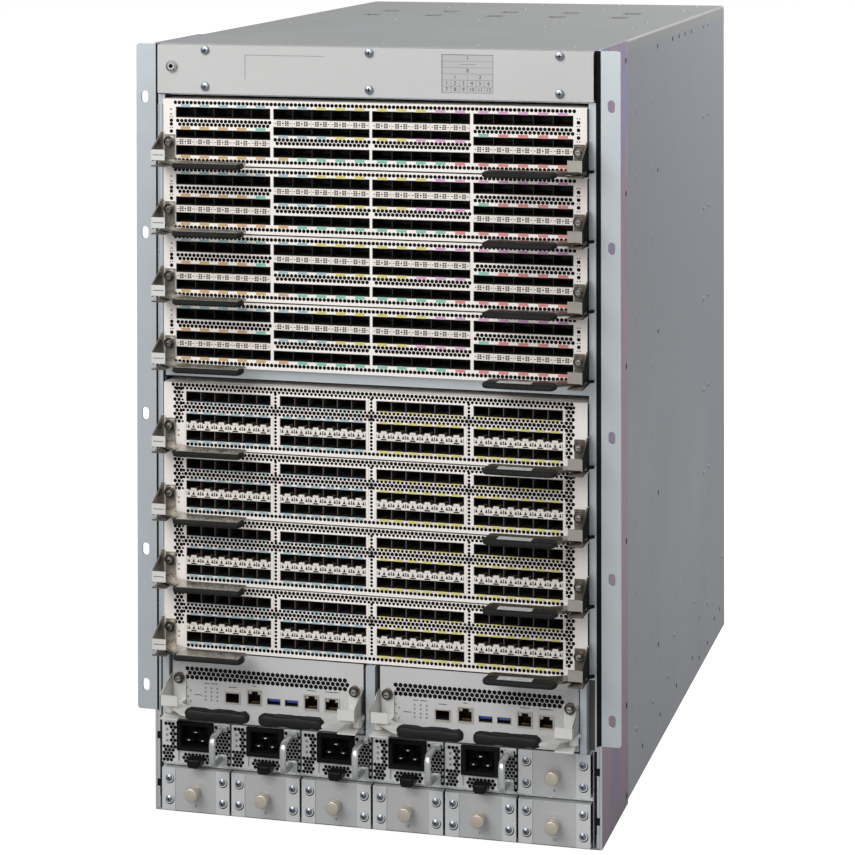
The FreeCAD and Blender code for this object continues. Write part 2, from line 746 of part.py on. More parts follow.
def line_card(large):
    """A card at its lower edge: folded face, port cages, tray, heat sink, connectors and brackets."""
    half = card_half_width
    back = front_y + card_length
    root = reach(face_reach - face_sheet)
    face = box(-half, half, reach(face_reach), root, 0, card_height)
    lip = box(-half, half, reach(face_reach), reach(face_reach - card_top_return),
              card_height - face_sheet, card_height)
    foot = box(-cage_half_width, cage_half_width, reach(face_reach), reach(0), 0, face_sheet)
    cages = box(-cage_half_width, cage_half_width, root, reach(face_reach - cage_depth),
                tray_rise, cage_top_rise)
    tray = box(-tray_half_width, tray_half_width, reach(0), back, tray_rise, tray_rise + tray_sheet)
    shapes = [face, lip, foot, cages, tray, finned_sink()]
    for side in (1, -1):
        shapes.append(box(side * (tray_half_width - tray_side_sheet), side * tray_half_width,
                          reach(-card_top_return), back, tray_rise, tray_rise + tray_side_height))
    for x in connector_columns:
        shapes.append(box(x - connector_width / 2, x + connector_width / 2, back,
                          back + connector_length, tray_rise, tray_rise + connector_height))
    if not large:
        group_half, centres = port_groups(large)
        rows = port_rows(large, False)
        frame_half = group_half + small_frame_margin
        frame_y = reach(face_reach + small_frame_height)
        for centre in centres:
            shapes.append(box(centre - frame_half, centre + frame_half, frame_y, root,
                              rows[0][0] - small_frame_lap, rows[-1][1] + small_frame_lap))
    body = fuse(shapes)
    p = card_ejector
    relief_low = p["lever_rise"] - lever_gap
    relief_high = p["lever_rise"] + p["lever_sheet"] + lever_gap
    relief_in = half - p["hinge_inset"] - p["toe_radius"] - toe_notch
    cuts = []
    for side in (1, -1):
        cuts.append(box(side * relief_in, side * (half + 1), reach(face_reach + 1), reach(0),
                        relief_low, relief_high))
    return fuse([body.cut(cuts + port_pockets(large))] + both_brackets(half, p))


# ---- Management modules --------------------------------------------------------------------------
def management_module():
    """A half-width module at its lower edge: stepped face, sockets, housing and brackets."""
    half = module_half_width
    root = reach(face_reach - face_sheet)
    face = box(-half, half, reach(face_reach), root, 0, module_height)
    lip_half = half - module_lip_inset
    lip = box(-lip_half, lip_half, reach(face_reach + module_lip_step), root, 0, module_lip_rise)
    housing_half = half - module_box_inset
    back = front_y + module_length
    housing = box(-housing_half, housing_half, root, back, fit_gap, module_box_height)
    connector_half = half - module_connector_inset
    connector = box(-connector_half, connector_half, back, back + connector_length, fit_gap, connector_height)
    body = fuse([face, lip, housing, connector])
    cuts = []
    tongues = []
    for x, low, width, height, depth in (fibre_socket,) + jack_sockets + usb_sockets:
        cuts.append(box(x - width / 2, x + width / 2, reach(pocket_start), reach(face_reach - depth),
                        low, low + height))
    for x, low, width, height, depth in usb_sockets:
        tongue_half = width / 2 - usb_tongue_inset
        tongues.append(box(x - tongue_half, x + tongue_half, reach(face_reach - usb_tongue_setback),
                           reach(face_reach - depth), low + height - usb_tongue, low + height))
    return fuse([body.cut(cuts)] + tongues + both_brackets(half, module_ejector))


# ---- Power shelf ---------------------------------------------------------------------------------
def bay_centre(column):
    """The centre of a power bay, counted from the left."""
    return (column - (bay_columns - 1) / 2.0) * bay_pitch


def power_shelf():
    """The two-deck grid of bays under the modules, and its top plate, which also carries the fan trays."""
    half = bay_pitch * bay_columns / 2.0
    back = front_y + shelf_depth
    start = front_y + shelf_setback
    shapes = [box(-inner_half, inner_half, start, back_y - base_sheet, bay_top_plate, tray_bottom)]
    deck_top = upper_bay_bottom - fit_gap
    shapes.append(box(-half, half, front_y, back, deck_top - shelf_sheet, deck_top))
    shapes.append(box(-half, half, front_y, front_y + shelf_nosing_depth, deck_top - shelf_nosing, deck_top))
    for k in range(bay_columns + 1):
        x = -half + k * bay_pitch
        shapes.append(box(x - bay_wall / 2, x + bay_wall / 2, start, back, base_sheet, bay_top_plate))
    shapes.append(box(-half, half, back, back + shelf_sheet, base_sheet, bay_top_plate))
    for k in range(bay_columns):
        x = bay_centre(k)
        shapes.append(box(x - ledge_width / 2, x + ledge_width / 2, front_y + ledge_setback, back,
                          base_sheet, lower_bay_bottom - fit_gap))
    return fuse(shapes)


def strap_handle():
    """A bent strip handle that stands out from a supply's face."""
    y0 = reach(face_reach - face_sheet)
    y1 = reach(face_reach + handle_reach)
    outer = box(handle_x - handle_width / 2, handle_x + handle_width / 2, y1, y0, handle_bottom, handle_top)
    bends = [e for e in outer.Edges
             if abs(e.CenterOfMass.y - y1) < 0.01 and abs(e.CenterOfMass.x - handle_x) < 0.01]
    outer = outer.makeFillet(handle_radius, bends)
    inner = box(handle_x - handle_width, handle_x + handle_width, y1 + handle_strip, y0 + 1,
                handle_bottom + handle_strip, handle_top - handle_strip)
    inner_y = y1 + handle_strip
    rounded = [e for e in inner.Edges
               if abs(e.CenterOfMass.y - inner_y) < 0.01 and abs(e.CenterOfMass.x - handle_x) < 0.01]
    inner = inner.makeFillet(handle_radius - handle_strip, rounded)
    return outer.cut(inner)


def power_supply():
    """A supply at its lower edge: case, inlet block with three pins, strap handle and release latch."""
    half = supply_width / 2.0
    case = box(-half, half, reach(face_reach), front_y + supply_length, 0, supply_height)
    inlet_z = supply_height - inlet_height / 2.0
    block = box(-inlet_width / 2, inlet_width / 2, reach(face_reach + inlet_reach), reach(face_reach - 1),
                inlet_z - inlet_height / 2, supply_height)
    tip = reach(face_reach + latch_reach)
    left = latch_x - latch_width / 2
    right = latch_x + latch_width / 2
    latch = prism([(left, reach(face_reach), latch_rise), (left, tip + latch_corner, latch_rise),
                   (left + latch_corner, tip, latch_rise), (right - latch_corner, tip, latch_rise),
                   (right, tip + latch_corner, latch_rise), (right, reach(face_reach), latch_rise)],
                  (0, 0, latch_height))
    tongue_half = half - supply_tongue_inset
    tongue = box(-tongue_half, tongue_half, front_y + supply_length, front_y + supply_length + supply_tongue,
                 supply_tongue_rise, supply_tongue_rise + supply_tongue_height)
    body = fuse([case, block, latch, strap_handle(), tongue])
    socket = box(-inlet_socket_width / 2, inlet_socket_width / 2, reach(face_reach + inlet_reach + 1),
                 reach(face_reach + inlet_reach - inlet_socket_depth),
                 inlet_z - inlet_socket_height / 2, inlet_z + inlet_socket_height / 2)
    pins = []
    width, height, length = inlet_pin
    for x, rise in inlet_pin_places:
        pins.append(box(x - width / 2, x + width / 2, reach(face_reach + inlet_reach - inlet_socket_depth),
                        reach(face_reach + inlet_reach - inlet_socket_depth + length),
                        inlet_z + rise - height / 2, inlet_z + rise + height / 2))
    return fuse([body.cut(socket)] + pins)


def bay_filler():
    """A blank for an empty bay: folded plate with two raised edge strips and a pull knob."""
    half = supply_width / 2.0
    root = reach(face_reach - filler_sheet)
    back = reach(face_reach - filler_depth)
    face = box(-half, half, reach(face_reach), root, 0, supply_height)
    floor = box(-half, half, root, back, 0, filler_sheet)
    roof = box(-half, half, root, back, supply_height - filler_sheet, supply_height)
    middle = supply_height / 2.0
    stem = small_rod(knob_stem_radius, (0, reach(face_reach + knob_reach - knob_length), middle), (0, 1, 0),
                     knob_reach - knob_length + filler_sheet / 2)
    knob = small_rod(knob_radius, (0, reach(face_reach + knob_reach), middle), (0, 1, 0), knob_length)
    shapes = [face, floor, roof, stem, knob]
    for side in (1, -1):
        shapes.append(box(side * (half - filler_strip), side * half, reach(face_reach + filler_strip_height),
                          root, 0, supply_height))
    return fuse(shapes)


# ---- Midplane, fabric modules and fans -----------------------------------------------------------
def midplane():
    """The board that every card plugs into, between the cage's side walls."""
    y0 = front_y + midplane_setback
    return box(-cage_wall_half, cage_wall_half, y0, y0 + midplane_thickness, tray_bottom, cage_top)


def fabric_modules():
    """Upright switch-fabric boards behind the midplane."""
    y0 = front_y + midplane_setback + midplane_thickness
    boards = []
    for k in range(fabric_count):
        x = (k - (fabric_count - 1) / 2.0) * fabric_pitch
        boards.append(box(x - fabric_board / 2, x + fabric_board / 2, y0, y0 + fabric_length,
                          fabric_bottom, fabric_top))
    return Part.makeCompound(boards)


def fan_centres():
    """The heights of one tray's fans."""
    middle = tray_bottom + fit_gap + fan_tray_height / 2.0
    return [middle + (k - (tray_fan_count - 1) / 2.0) * fan_pitch for k in range(tray_fan_count)]


def tray_span():
    """The inner and outer edge of the right-hand fan tray."""
    return fit_gap, inner_half - fit_gap


def fan_tray():
    """The right-hand tray: shroud with round fan openings, motor spiders, axles and a bow handle."""
    left, right = tray_span()
    middle = (left + right) / 2.0
    low = tray_bottom + fit_gap
    high = low + fan_tray_height
    inner_y = back_y - fan_shroud_depth
    shroud = box(left, right, inner_y, back_y, low, high)
    bores = []
    depth = fan_shroud_depth + 2
    for z in fan_centres():
        start = (middle, inner_y - 1, z)
        bores.append(sided_rod(fan_radius, fan_round_sides, start, (0, 1, 0), depth, around=True))
    shapes = [shroud.cut(bores)]
    for z in fan_centres():
        shapes.append(box(middle - fan_radius - 1, middle + fan_radius + 1, inner_y, inner_y + spider_sheet,
                          z - spider_arm / 2, z + spider_arm / 2))
        shapes.append(box(middle - spider_arm / 2, middle + spider_arm / 2, inner_y, inner_y + spider_sheet,
                          z - fan_radius - 1, z + fan_radius + 1))
        shapes.append(rod(axle_radius, (middle, inner_y, z), (0, 1, 0), spider_sheet + fan_hub_depth))
    grip_z = (low + high) / 2.0
    bar = tray_handle_bar
    ends = tray_handle_length / 2.0
    shapes.append(box(middle - ends, middle + ends, back_y + tray_handle_reach - bar,
                      back_y + tray_handle_reach, grip_z - bar, grip_z + bar))
    for side in (1, -1):
        shapes.append(box(middle + side * ends, middle + side * (ends - bar), back_y,
                          back_y + tray_handle_reach - bar, grip_z - bar, grip_z + bar))
    return fuse(shapes)


def fan_rotor():
    """A rotor centred on its axis: bored hub and seven pitched blades."""
    inner_y = back_y - fan_shroud_depth + spider_sheet + rotor_gap
    hub = sided_rod(fan_hub_radius, 2 * fan_blades, (0, inner_y, 0), (0, 1, 0), fan_hub_depth)
    middle_y = inner_y + fan_hub_depth / 2.0
    tip = fan_radius - fan_tip_gap
    blade_plate = box(-fan_blade_sheet / 2, fan_blade_sheet / 2, -fan_blade_chord / 2, fan_blade_chord / 2,
                      fan_hub_radius - fan_blade_root, tip - fan_tip_cut)
    blade_plate.rotate(FreeCAD.Vector(0, 0, 0), FreeCAD.Vector(0, 0, 1), 90.0 - fan_blade_pitch_angle)
    blade_plate.translate(FreeCAD.Vector(0, middle_y, 0))
    shapes = [hub]
    for k in range(fan_blades):
        blade = blade_plate.copy()
        blade.rotate(FreeCAD.Vector(0, 0, 0), FreeCAD.Vector(0, 1, 0), 360.0 * k / fan_blades)
        shapes.append(blade)
    rotor = fuse(shapes)
    bore = rod(axle_radius + pin_clearance, (0, inner_y - 1, 0), (0, 1, 0), fan_hub_depth + 2)
    return rotor.cut(bore)


# ---- Assembly ------------------------------------------------------------------------------------
def build():
    """Write every sub-part."""
    os.makedirs("parts", exist_ok=True)
    save("top_cover", top_cover())
    save("base_pan", base_pan())
    save("side_panel_right", side_panel())
    save("side_panel_left", mirrored(side_panel()))
    save("rack_flange_right", rack_flange())
    save("rack_flange_left", mirrored(rack_flange()))
    save("header_panel", header_panel())
    save("header_screws", header_screws())
    save("card_cage", card_cage())
    save("power_shelf", power_shelf())
    save("midplane", midplane())
    save("fabric_modules", fabric_modules())

    card_shapes = {True: line_card(True), False: line_card(False)}
    for number, bottom in enumerate(card_bottoms(), start=1):
        save("line_card_%d" % number, moved(card_shapes[number <= cards_per_stack], 0, 0, bottom))
        lever = ejector_lever(card_half_width, bottom, card_ejector)
        save("card_lever_%d_right" % number, lever)
        save("card_lever_%d_left" % number, mirrored(lever))

    module = management_module()
    lever = ejector_lever(module_half_width, module_bottom, module_ejector)
    for number, centre in ((1, -module_centre), (2, module_centre)):
        save("management_module_%d" % number, moved(module, centre, 0, module_bottom))
        save("module_lever_%d_right" % number, moved(lever, centre, 0, 0))
        save("module_lever_%d_left" % number, moved(mirrored(lever), centre, 0, 0))

    supply = power_supply()
    filler = bay_filler()
    for k in range(supply_count):
        save("power_supply_%d" % (k + 1), moved(supply, bay_centre(k), 0, upper_bay_bottom))
    save("bay_filler_1", moved(filler, bay_centre(bay_columns - 1), 0, upper_bay_bottom))
    for k in range(bay_columns):
        save("bay_filler_%d" % (k + 2), moved(filler, bay_centre(k), 0, lower_bay_bottom))

    tray = fan_tray()
    rotor = fan_rotor()
    left, right = tray_span()
    middle = (left + right) / 2.0
    save("fan_tray_right", tray)
    save("fan_tray_left", mirrored(tray))
    for number, z in enumerate(fan_centres(), start=1):
        save("fan_rotor_right_%d" % number, moved(rotor, middle, 0, z))
        save("fan_rotor_left_%d" % number, moved(rotor, -middle, 0, z))


build()
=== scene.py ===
"""The looks of a modular chassis switch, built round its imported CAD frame.

Lengths below are millimetres in the frame's axes: X to the right seen from the front, Y to the back, Z up.
A "rise" is a height above a module's own lower edge, and a "reach" a distance in front of the rack flanges.
A shape is a pair: an (n, 3) array of points, and a list of (m, k) arrays of corner numbers.
"""
import bpy
import math
import numpy as np
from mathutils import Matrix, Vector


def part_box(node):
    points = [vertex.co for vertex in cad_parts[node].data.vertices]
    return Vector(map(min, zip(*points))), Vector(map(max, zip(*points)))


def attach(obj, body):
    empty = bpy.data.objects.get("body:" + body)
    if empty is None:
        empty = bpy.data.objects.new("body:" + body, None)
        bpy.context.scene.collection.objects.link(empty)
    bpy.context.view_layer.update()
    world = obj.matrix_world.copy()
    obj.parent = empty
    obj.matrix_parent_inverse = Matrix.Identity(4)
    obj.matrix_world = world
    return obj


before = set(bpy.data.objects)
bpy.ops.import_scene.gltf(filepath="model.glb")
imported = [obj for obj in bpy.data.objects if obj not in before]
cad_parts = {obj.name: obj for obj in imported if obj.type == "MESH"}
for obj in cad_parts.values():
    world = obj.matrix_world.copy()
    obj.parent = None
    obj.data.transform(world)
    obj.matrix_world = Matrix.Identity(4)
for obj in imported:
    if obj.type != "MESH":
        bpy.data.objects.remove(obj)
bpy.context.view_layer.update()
MM = 0.001


def limits(node):
    """The lowest and highest corner of a CAD node, in millimetres."""
    low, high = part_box(node)
    return np.array(low) / MM, np.array(high) / MM


flange_y = limits("rack_flange_right")[0][1]
face_reach = 7.0
header_reach = 6.5
chassis_top = limits("top_cover")[1][2]
chassis_half = limits("side_panel_right")[1][0]
chassis_back = limits("side_panel_right")[1][1]
card_half = 210.7
module_half = 97.0
module_centres = {1: -105.35, 2: 105.35}
module_hinge = 94.8
card_hinge = 208.5
bracket_reach = 60.0
filler_half = 34.6
filler_strip = 13.6
card_names = ["line_card_%d" % k for k in range(1, 9)]
large_cards = card_names[:4]


def reach(distance):
    """The y of a point this far in front of the flanges."""
    return flange_y - distance


# ---- Shapes --------------------------------------------------------------------------------------
def joined(parts):
    """One shape of several: all points in turn, and each part's faces shifted by the points before it."""
    points = []
    faces = []
    start = 0
    for part_points, part_faces in parts:
        points.append(part_points)
        faces += [face + start for face in part_faces]
        start += len(part_points)
    return np.concatenate(points), faces


def stamped(part, places):
    """Copies of one shape: each point of the shape plus each place."""
    points, faces = part
    places = np.atleast_2d(np.asarray(places, float))
    shift = np.arange(len(places))[:, None, None] * len(points)
    copies = (places[:, None] + points[None]).reshape(-1, 3)
    return copies, [(face[None] + shift).reshape(-1, face.shape[1]) for face in faces]


def blocks(lows, highs):
    """Boxes: each low corner plus the box's size times the corners of a unit cube."""
    first = np.atleast_2d(np.asarray(lows, float))
    second = np.atleast_2d(np.asarray(highs, float))
    low = np.minimum(first, second)
    size = np.maximum(first, second) - low
    unit = np.array([[i & 1, i >> 1 & 1, i >> 2] for i in range(8)], float)
    sides = np.array([[0, 2, 3, 1], [4, 5, 7, 6], [0, 1, 5, 4], [2, 6, 7, 3], [0, 4, 6, 2], [1, 3, 7, 5]])
    points = (low[:, None] + size[:, None] * unit[None]).reshape(-1, 3)
    shift = np.arange(len(low))[:, None, None] * 8
    return points, [(sides[None] + shift).reshape(-1, 4)]


def block(x0, x1, y0, y1, z0, z1):
    """One box between two opposite corners."""
    return blocks([[x0, y0, z0]], [[x1, y1, z1]])


def turned(profile, sides=16, start=0.5):
    """A turned shape that faces the front. Ring i has radius r(i) and stands out by s(i): its points are
    r cos t, -s, r sin t, with t in equal steps. The last ring is closed by one flat face."""
    radius, out = np.asarray(profile, float).T
    turn = 2.0 * math.pi * (np.arange(sides) + start) / sides
    x = radius[:, None] * np.cos(turn)
    z = radius[:, None] * np.sin(turn)
    y = np.broadcast_to(-out[:, None], x.shape)
    points = np.stack([x, y, z], axis=-1).reshape(-1, 3)
    ring = np.arange(sides)
    after = (ring + 1) % sides
    rows = np.arange(len(radius) - 1)[:, None] * sides
    quads = np.stack([rows + ring, rows + after, rows + sides + after, rows + sides + ring], axis=-1)
    cap = (len(radius) - 1) * sides + ring[None]
    return points, [quads.reshape(-1, 4), cap]


def dots(places, sides=8):
    """Flat many-sided discs that face the front. Each place is x, y, z and a radius r: the points are the
    place plus r cos t, 0, r sin t, with t in equal steps."""
    places = np.asarray(places, float)
    turn = 2.0 * math.pi * (np.arange(sides) + 0.5) / sides
    ring = np.stack([np.cos(turn), 0.0 * turn, np.sin(turn)], axis=-1)
    points = (places[:, None, :3] + places[:, None, 3:4] * ring[None]).reshape(-1, 3)
    return points, [np.arange(len(places) * sides).reshape(-1, sides)]


def plates(rows):
    """Several boxes, each given as x0, x1, y0, y1, z0, z1."""
    rows = np.asarray(rows, float)
    return blocks(rows[:, 0::2], rows[:, 1::2])


def window_frame(x0, x1, y0, y1, z0, z1, rim):
    """Four bars round an opening that faces the front: one above, one below and one at each side."""
    return plates([(x0 - rim, x1 + rim, y0, y1, z1, z1 + rim), (x0 - rim, x1 + rim, y0, y1, z0 - rim, z0),
                   (x0 - rim, x0, y0, y1, z0, z1), (x1, x1 + rim, y0, y1, z0, z1)])


def socket_liner(x0, x1, front, back, z0, z1, end=0.3, roof=True):
    """Thin plates inside a socket, open to the front: its sides, its floor, its roof and its far end."""
    thick = 0.15
    rows = [(x0, x0 + thick, front, back, z0, z1), (x1 - thick, x1, front, back, z0, z1),
            (x0, x1, front, back, z0, z0 + thick)]
    if roof:
        rows.append((x0, x1, front, back, z1 - thick, z1))
    return plates(rows + [(x0, x1, back - end, back, z0, z1)])


def disc(radius, out=0.06, sides=8):
    """A flat many-sided disc that faces the front."""
    return turned([(radius, out)], sides)


def facing(part, way):
    """Turns a shape that faces the front (-y) to another way, by a quarter or half turn."""
    x, y, z = part[0].T
    turns = {"back": (-x, -y, z), "right": (-y, x, z), "left": (y, -x, z), "up": (x, z, -y),
             "down": (x, -z, y)}
    return np.stack(turns[way], axis=-1), part[1]


def placed(part, x, y, z):
    """The shape, moved."""
    return part[0] + np.array([x, y, z], float), part[1]


def carried(path, section, up, closed=False):
    """A section carried along a path that lies square to the direction up. At each path point the section's
    first number runs along (path direction x up) and its second along up."""
    path = np.asarray(path, float)
    section = np.asarray(section, float)
    if section.ndim == 2:
        section = np.broadcast_to(section, (len(path),) + section.shape)
    if closed:
        ahead = np.roll(path, -1, axis=0) - np.roll(path, 1, axis=0)
    else:
        ahead = np.gradient(path, axis=0)
    ahead = ahead / np.linalg.norm(ahead, axis=1)[:, None]
    up = np.asarray(up, float)
    side = np.cross(ahead, up)
    side = side / np.linalg.norm(side, axis=1)[:, None]
    points = path[:, None] + section[..., :1] * side[:, None] + section[..., 1:] * up
    count, corners = section.shape[:2]
    ring = np.arange(corners)
    after = (ring + 1) % corners
    steps = np.arange(count if closed else count - 1)[:, None]
    here = steps * corners
    there = (steps + 1) % count * corners
    quads = np.stack([here + ring, there + ring, there + after, here + after], axis=-1).reshape(-1, 4)
    faces = [quads]
    if not closed:
        faces.append(ring[None])
        faces.append(((count - 1) * corners + ring[::-1])[None])
    return points.reshape(-1, 3), faces


def oval(half_wide, half_high, sides=12, squareness=1.0):
    """A rounded section: cos and sin of the turn angle, each raised to the power 1/squareness."""
    turn = 2.0 * math.pi * (np.arange(sides) + 0.5) / sides
    a, b = np.cos(turn), np.sin(turn)
    power = 1.0 / squareness
    return np.stack([half_wide * np.sign(a) * np.abs(a) ** power,
                     half_high * np.sign(b) * np.abs(b) ** power], axis=-1)


def flat_shapes(outline, y):
    """A flat shape that faces the front: its outline (x, z) listed from +x towards +z, at one y."""
    outline = np.asarray(outline, float)
    points = np.stack([outline[:, 0], np.full(len(outline), y), outline[:, 1]], axis=-1)
    return points, [np.arange(len(outline))[None]]


def grid(xs, zs):
    """All pairs of the x values and z values, as an (n, 2) array."""
    x, z = np.meshgrid(xs, zs)
    return np.stack([x.ravel(), z.ravel()], axis=-1)


def at_y(pairs, y):
    """Places (x, y, z) from pairs (x, z)."""
    pairs = np.asarray(pairs, float).reshape(-1, 2)
    return np.stack([pairs[:, 0], np.full(len(pairs), y), pairs[:, 1]], axis=-1)


def row(x0, x1, pitch, shift=0.0):
    """Evenly spaced values from x0 to x1 at about the pitch, moved along by a share of it."""
    count = int(math.floor((x1 - x0) / pitch + 0.5 - shift))
    return x0 + pitch * (np.arange(count + 1) + shift)


def add(name, parts, finishes, body, which=None, smooth=False, bevel=0.0):
    """Makes a piece of shapes, in metres, carried by a CAD body. Each shape may have a finish of its own."""
    if isinstance(parts, tuple):
        parts = [parts]
    if not isinstance(finishes, (list, tuple)):
        finishes = [finishes]
    points, faces = joined(parts)
    mesh = bpy.data.meshes.new(name)
    mesh.from_pydata((points * MM).tolist(), [], [corner for face in faces for corner in face.tolist()])
    for material in finishes:
        mesh.materials.append(material)
    if which is not None:
        counts = [sum(len(face) for face in part[1]) for part in parts]
        mesh.polygons.foreach_set("material_index", np.repeat(np.asarray(which), counts))
    if smooth:
        mesh.polygons.foreach_set("use_smooth", np.ones(len(mesh.polygons), bool))
        mesh.set_sharp_from_angle(angle=math.radians(38.0))
    mesh.update()
    piece = bpy.data.objects.new(name, mesh)
    bpy.context.scene.collection.objects.link(piece)
    if bevel:
        rounding = piece.modifiers.new("rounding", "BEVEL")
        rounding.width = bevel * MM
        rounding.segments = 2
        rounding.limit_method = "ANGLE"
    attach(piece, body)
    return piece


# ---- Effects shared by the materials ---------------------------------------------------------------
def new_group(name, inputs, outputs):
    """An empty shader node group with named sockets."""
    group = bpy.data.node_groups.new(name, "ShaderNodeTree")
    for socket_name, kind, value in inputs:
        socket = group.interface.new_socket(socket_name, in_out="INPUT", socket_type=kind)
        socket.default_value = value
    for socket_name, kind in outputs:
        group.interface.new_socket(socket_name, in_out="OUTPUT", socket_type=kind)
    return group, group.nodes.new("NodeGroupInput"), group.nodes.new("NodeGroupOutput")


def noise(tree, vector, scale, detail, roughness):
    """A noise node on a vector; scale may be a socket."""
    node = tree.nodes.new("ShaderNodeTexNoise")
    node.inputs["Detail"].default_value = detail
    node.inputs["Roughness"].default_value = roughness
    tree.links.new(vector, node.inputs["Vector"])
    if isinstance(scale, (int, float)):
        node.inputs["Scale"].default_value = scale
    else:
        tree.links.new(scale, node.inputs["Scale"])
    return node


def spread(tree, value, low, high, new_low, new_high):
    """A Map Range node from one span to another; the new span may be sockets."""
    node = tree.nodes.new("ShaderNodeMapRange")
    tree.links.new(value, node.inputs["Value"])
    node.inputs["From Min"].default_value = low
    node.inputs["From Max"].default_value = high
    for socket_name, new in (("To Min", new_low), ("To Max", new_high)):
        if isinstance(new, (int, float)):
            node.inputs[socket_name].default_value = new
        else:
            tree.links.new(new, node.inputs[socket_name])
    return node.outputs["Result"]


def mixed(tree, factor, first, second):
    """A colour mix by a factor."""
    node = tree.nodes.new("ShaderNodeMix")
    node.data_type = "RGBA"
    tree.links.new(factor, node.inputs["Factor"])
    tree.links.new(first, node.inputs["A"])
    tree.links.new(second, node.inputs["B"])
    return node.outputs["Result"]


def make_sheet_surface():
    """Worked sheet: patches between two colours, a roughness that drifts with them, and a fine stretched
    grain."""
    group, given, out = new_group("sheet_surface", [
        ("Light Colour", "NodeSocketColor", (0.8, 0.8, 0.8, 1)),
        ("Dark Colour", "NodeSocketColor", (0.7, 0.7, 0.7, 1)),
        ("Patch Scale", "NodeSocketFloat", 12.0), ("Grain Scale", "NodeSocketFloat", 900.0),
        ("Grain Stretch", "NodeSocketVector", (1, 1, 1)), ("Smoothest", "NodeSocketFloat", 0.35),
        ("Roughest", "NodeSocketFloat", 0.5)],
        [("Colour", "NodeSocketColor"), ("Roughness", "NodeSocketFloat"), ("Height", "NodeSocketFloat")])
    where = group.nodes.new("ShaderNodeTexCoord").outputs["Object"]
    patches = noise(group, where, given.outputs["Patch Scale"], 4.0, 0.55).outputs["Fac"]
    stretch = group.nodes.new("ShaderNodeVectorMath")
    stretch.operation = "MULTIPLY"
    group.links.new(where, stretch.inputs[0])
    group.links.new(given.outputs["Grain Stretch"], stretch.inputs[1])
    grain = noise(group, stretch.outputs["Vector"], given.outputs["Grain Scale"], 2.0, 0.6).outputs["Fac"]
    factor = spread(group, patches, 0.3, 0.7, 0.0, 1.0)
    blend = group.nodes.new("ShaderNodeMath")
    blend.operation = "MULTIPLY_ADD"
    blend.use_clamp = True
    group.links.new(grain, blend.inputs[0])
    blend.inputs[1].default_value = 0.5
    group.links.new(factor, blend.inputs[2])
    shift = spread(group, blend.outputs["Value"], 0.2, 1.2, 0.0, 1.0)
    group.links.new(mixed(group, shift, given.outputs["Light Colour"], given.outputs["Dark Colour"]),
                    out.inputs["Colour"])
    group.links.new(spread(group, patches, 0.3, 0.7, given.outputs["Smoothest"], given.outputs["Roughest"]),
                    out.inputs["Roughness"])
    group.links.new(grain, out.inputs["Height"])
    return group


def make_passivation_and_shade():
    """Passivated zinc: slow bands of pink, violet and steel blue that drift up and along the sheet, darkened
    towards the bottom as painted shade.
    """
    group, given, out = new_group("passivation_and_shade", [("Strength", "NodeSocketFloat", 0.5)],
                                  [("Colour", "NodeSocketColor")])
    where = group.nodes.new("ShaderNodeTexCoord").outputs["Object"]
    stretch = group.nodes.new("ShaderNodeVectorMath")
    stretch.operation = "MULTIPLY"
    stretch.inputs[1].default_value = (3.0, 9.0, 1.6)
    group.links.new(where, stretch.inputs[0])
    drift = noise(group, stretch.outputs["Vector"], 1.7, 5.0, 0.6).outputs["Fac"]
    ramp = group.nodes.new("ShaderNodeValToRGB")
    stops = ((0.30, (0.30, 0.36, 0.46, 1)), (0.42, (0.42, 0.29, 0.38, 1)), (0.50, (0.47, 0.30, 0.35, 1)),
             (0.58, (0.30, 0.26, 0.44, 1)), (0.68, (0.28, 0.36, 0.46, 1)))
    while len(ramp.color_ramp.elements) < len(stops):
        ramp.color_ramp.elements.new(0.5)
    for element, (position, colour) in zip(ramp.color_ramp.elements, stops):
        element.position = position
        element.color = colour
    group.links.new(drift, ramp.inputs["Fac"])
    # The colour falls to half towards the bottom of the sheet: painted shade.
    height = group.nodes.new("ShaderNodeSeparateXYZ")
    group.links.new(where, height.inputs[0])
    shade = group.nodes.new("ShaderNodeVectorMath")
    shade.operation = "SCALE"
    group.links.new(spread(group, height.outputs["Z"], 0.0, 0.7, 0.5, 1.0), shade.inputs["Scale"])
    plain = group.nodes.new("ShaderNodeRGB")
    plain.outputs[0].default_value = (0.40, 0.42, 0.45, 1)
    group.links.new(mixed(group, given.outputs["Strength"], plain.outputs[0], ramp.outputs["Color"]),
                    shade.inputs[0])
    group.links.new(shade.outputs["Vector"], out.inputs["Colour"])
    return group


sheet_surface = make_sheet_surface()
passivation_and_shade = make_passivation_and_shade()


def finish(name, light, dark=None, metallic=0.0, smoothest=0.35, roughest=0.5, patch=12.0, grain=900.0,
           stretch=(1, 1, 1), bump=0.06, depth=0.05, specular=0.5):
    """A material whose colour, roughness and grain come from the sheet surface effect."""
    dark = dark or tuple(0.86 * part for part in light)
    material = bpy.data.materials.new(name)
    material.use_nodes = True
    tree = material.node_tree
    shader = tree.nodes["Principled BSDF"]
    effect = tree.nodes.new("ShaderNodeGroup")
    effect.node_tree = sheet_surface
    effect.inputs["Light Colour"].default_value = light + (1,)
    effect.inputs["Dark Colour"].default_value = dark + (1,)
    effect.inputs["Patch Scale"].default_value = patch
    effect.inputs["Grain Scale"].default_value = grain
    effect.inputs["Grain Stretch"].default_value = stretch
    effect.inputs["Smoothest"].default_value = smoothest
    effect.inputs["Roughest"].default_value = roughest
    shader.inputs["Metallic"].default_value = metallic
    shader.inputs["Specular IOR Level"].default_value = specular
    tree.links.new(effect.outputs["Colour"], shader.inputs["Base Color"])
    tree.links.new(effect.outputs["Roughness"], shader.inputs["Roughness"])
    relief = tree.nodes.new("ShaderNodeBump")
    relief.inputs["Strength"].default_value = bump
    relief.inputs["Distance"].default_value = depth * MM
    tree.links.new(effect.outputs["Height"], relief.inputs["Height"])
    tree.links.new(relief.outputs["Normal"], shader.inputs["Normal"])
    return material


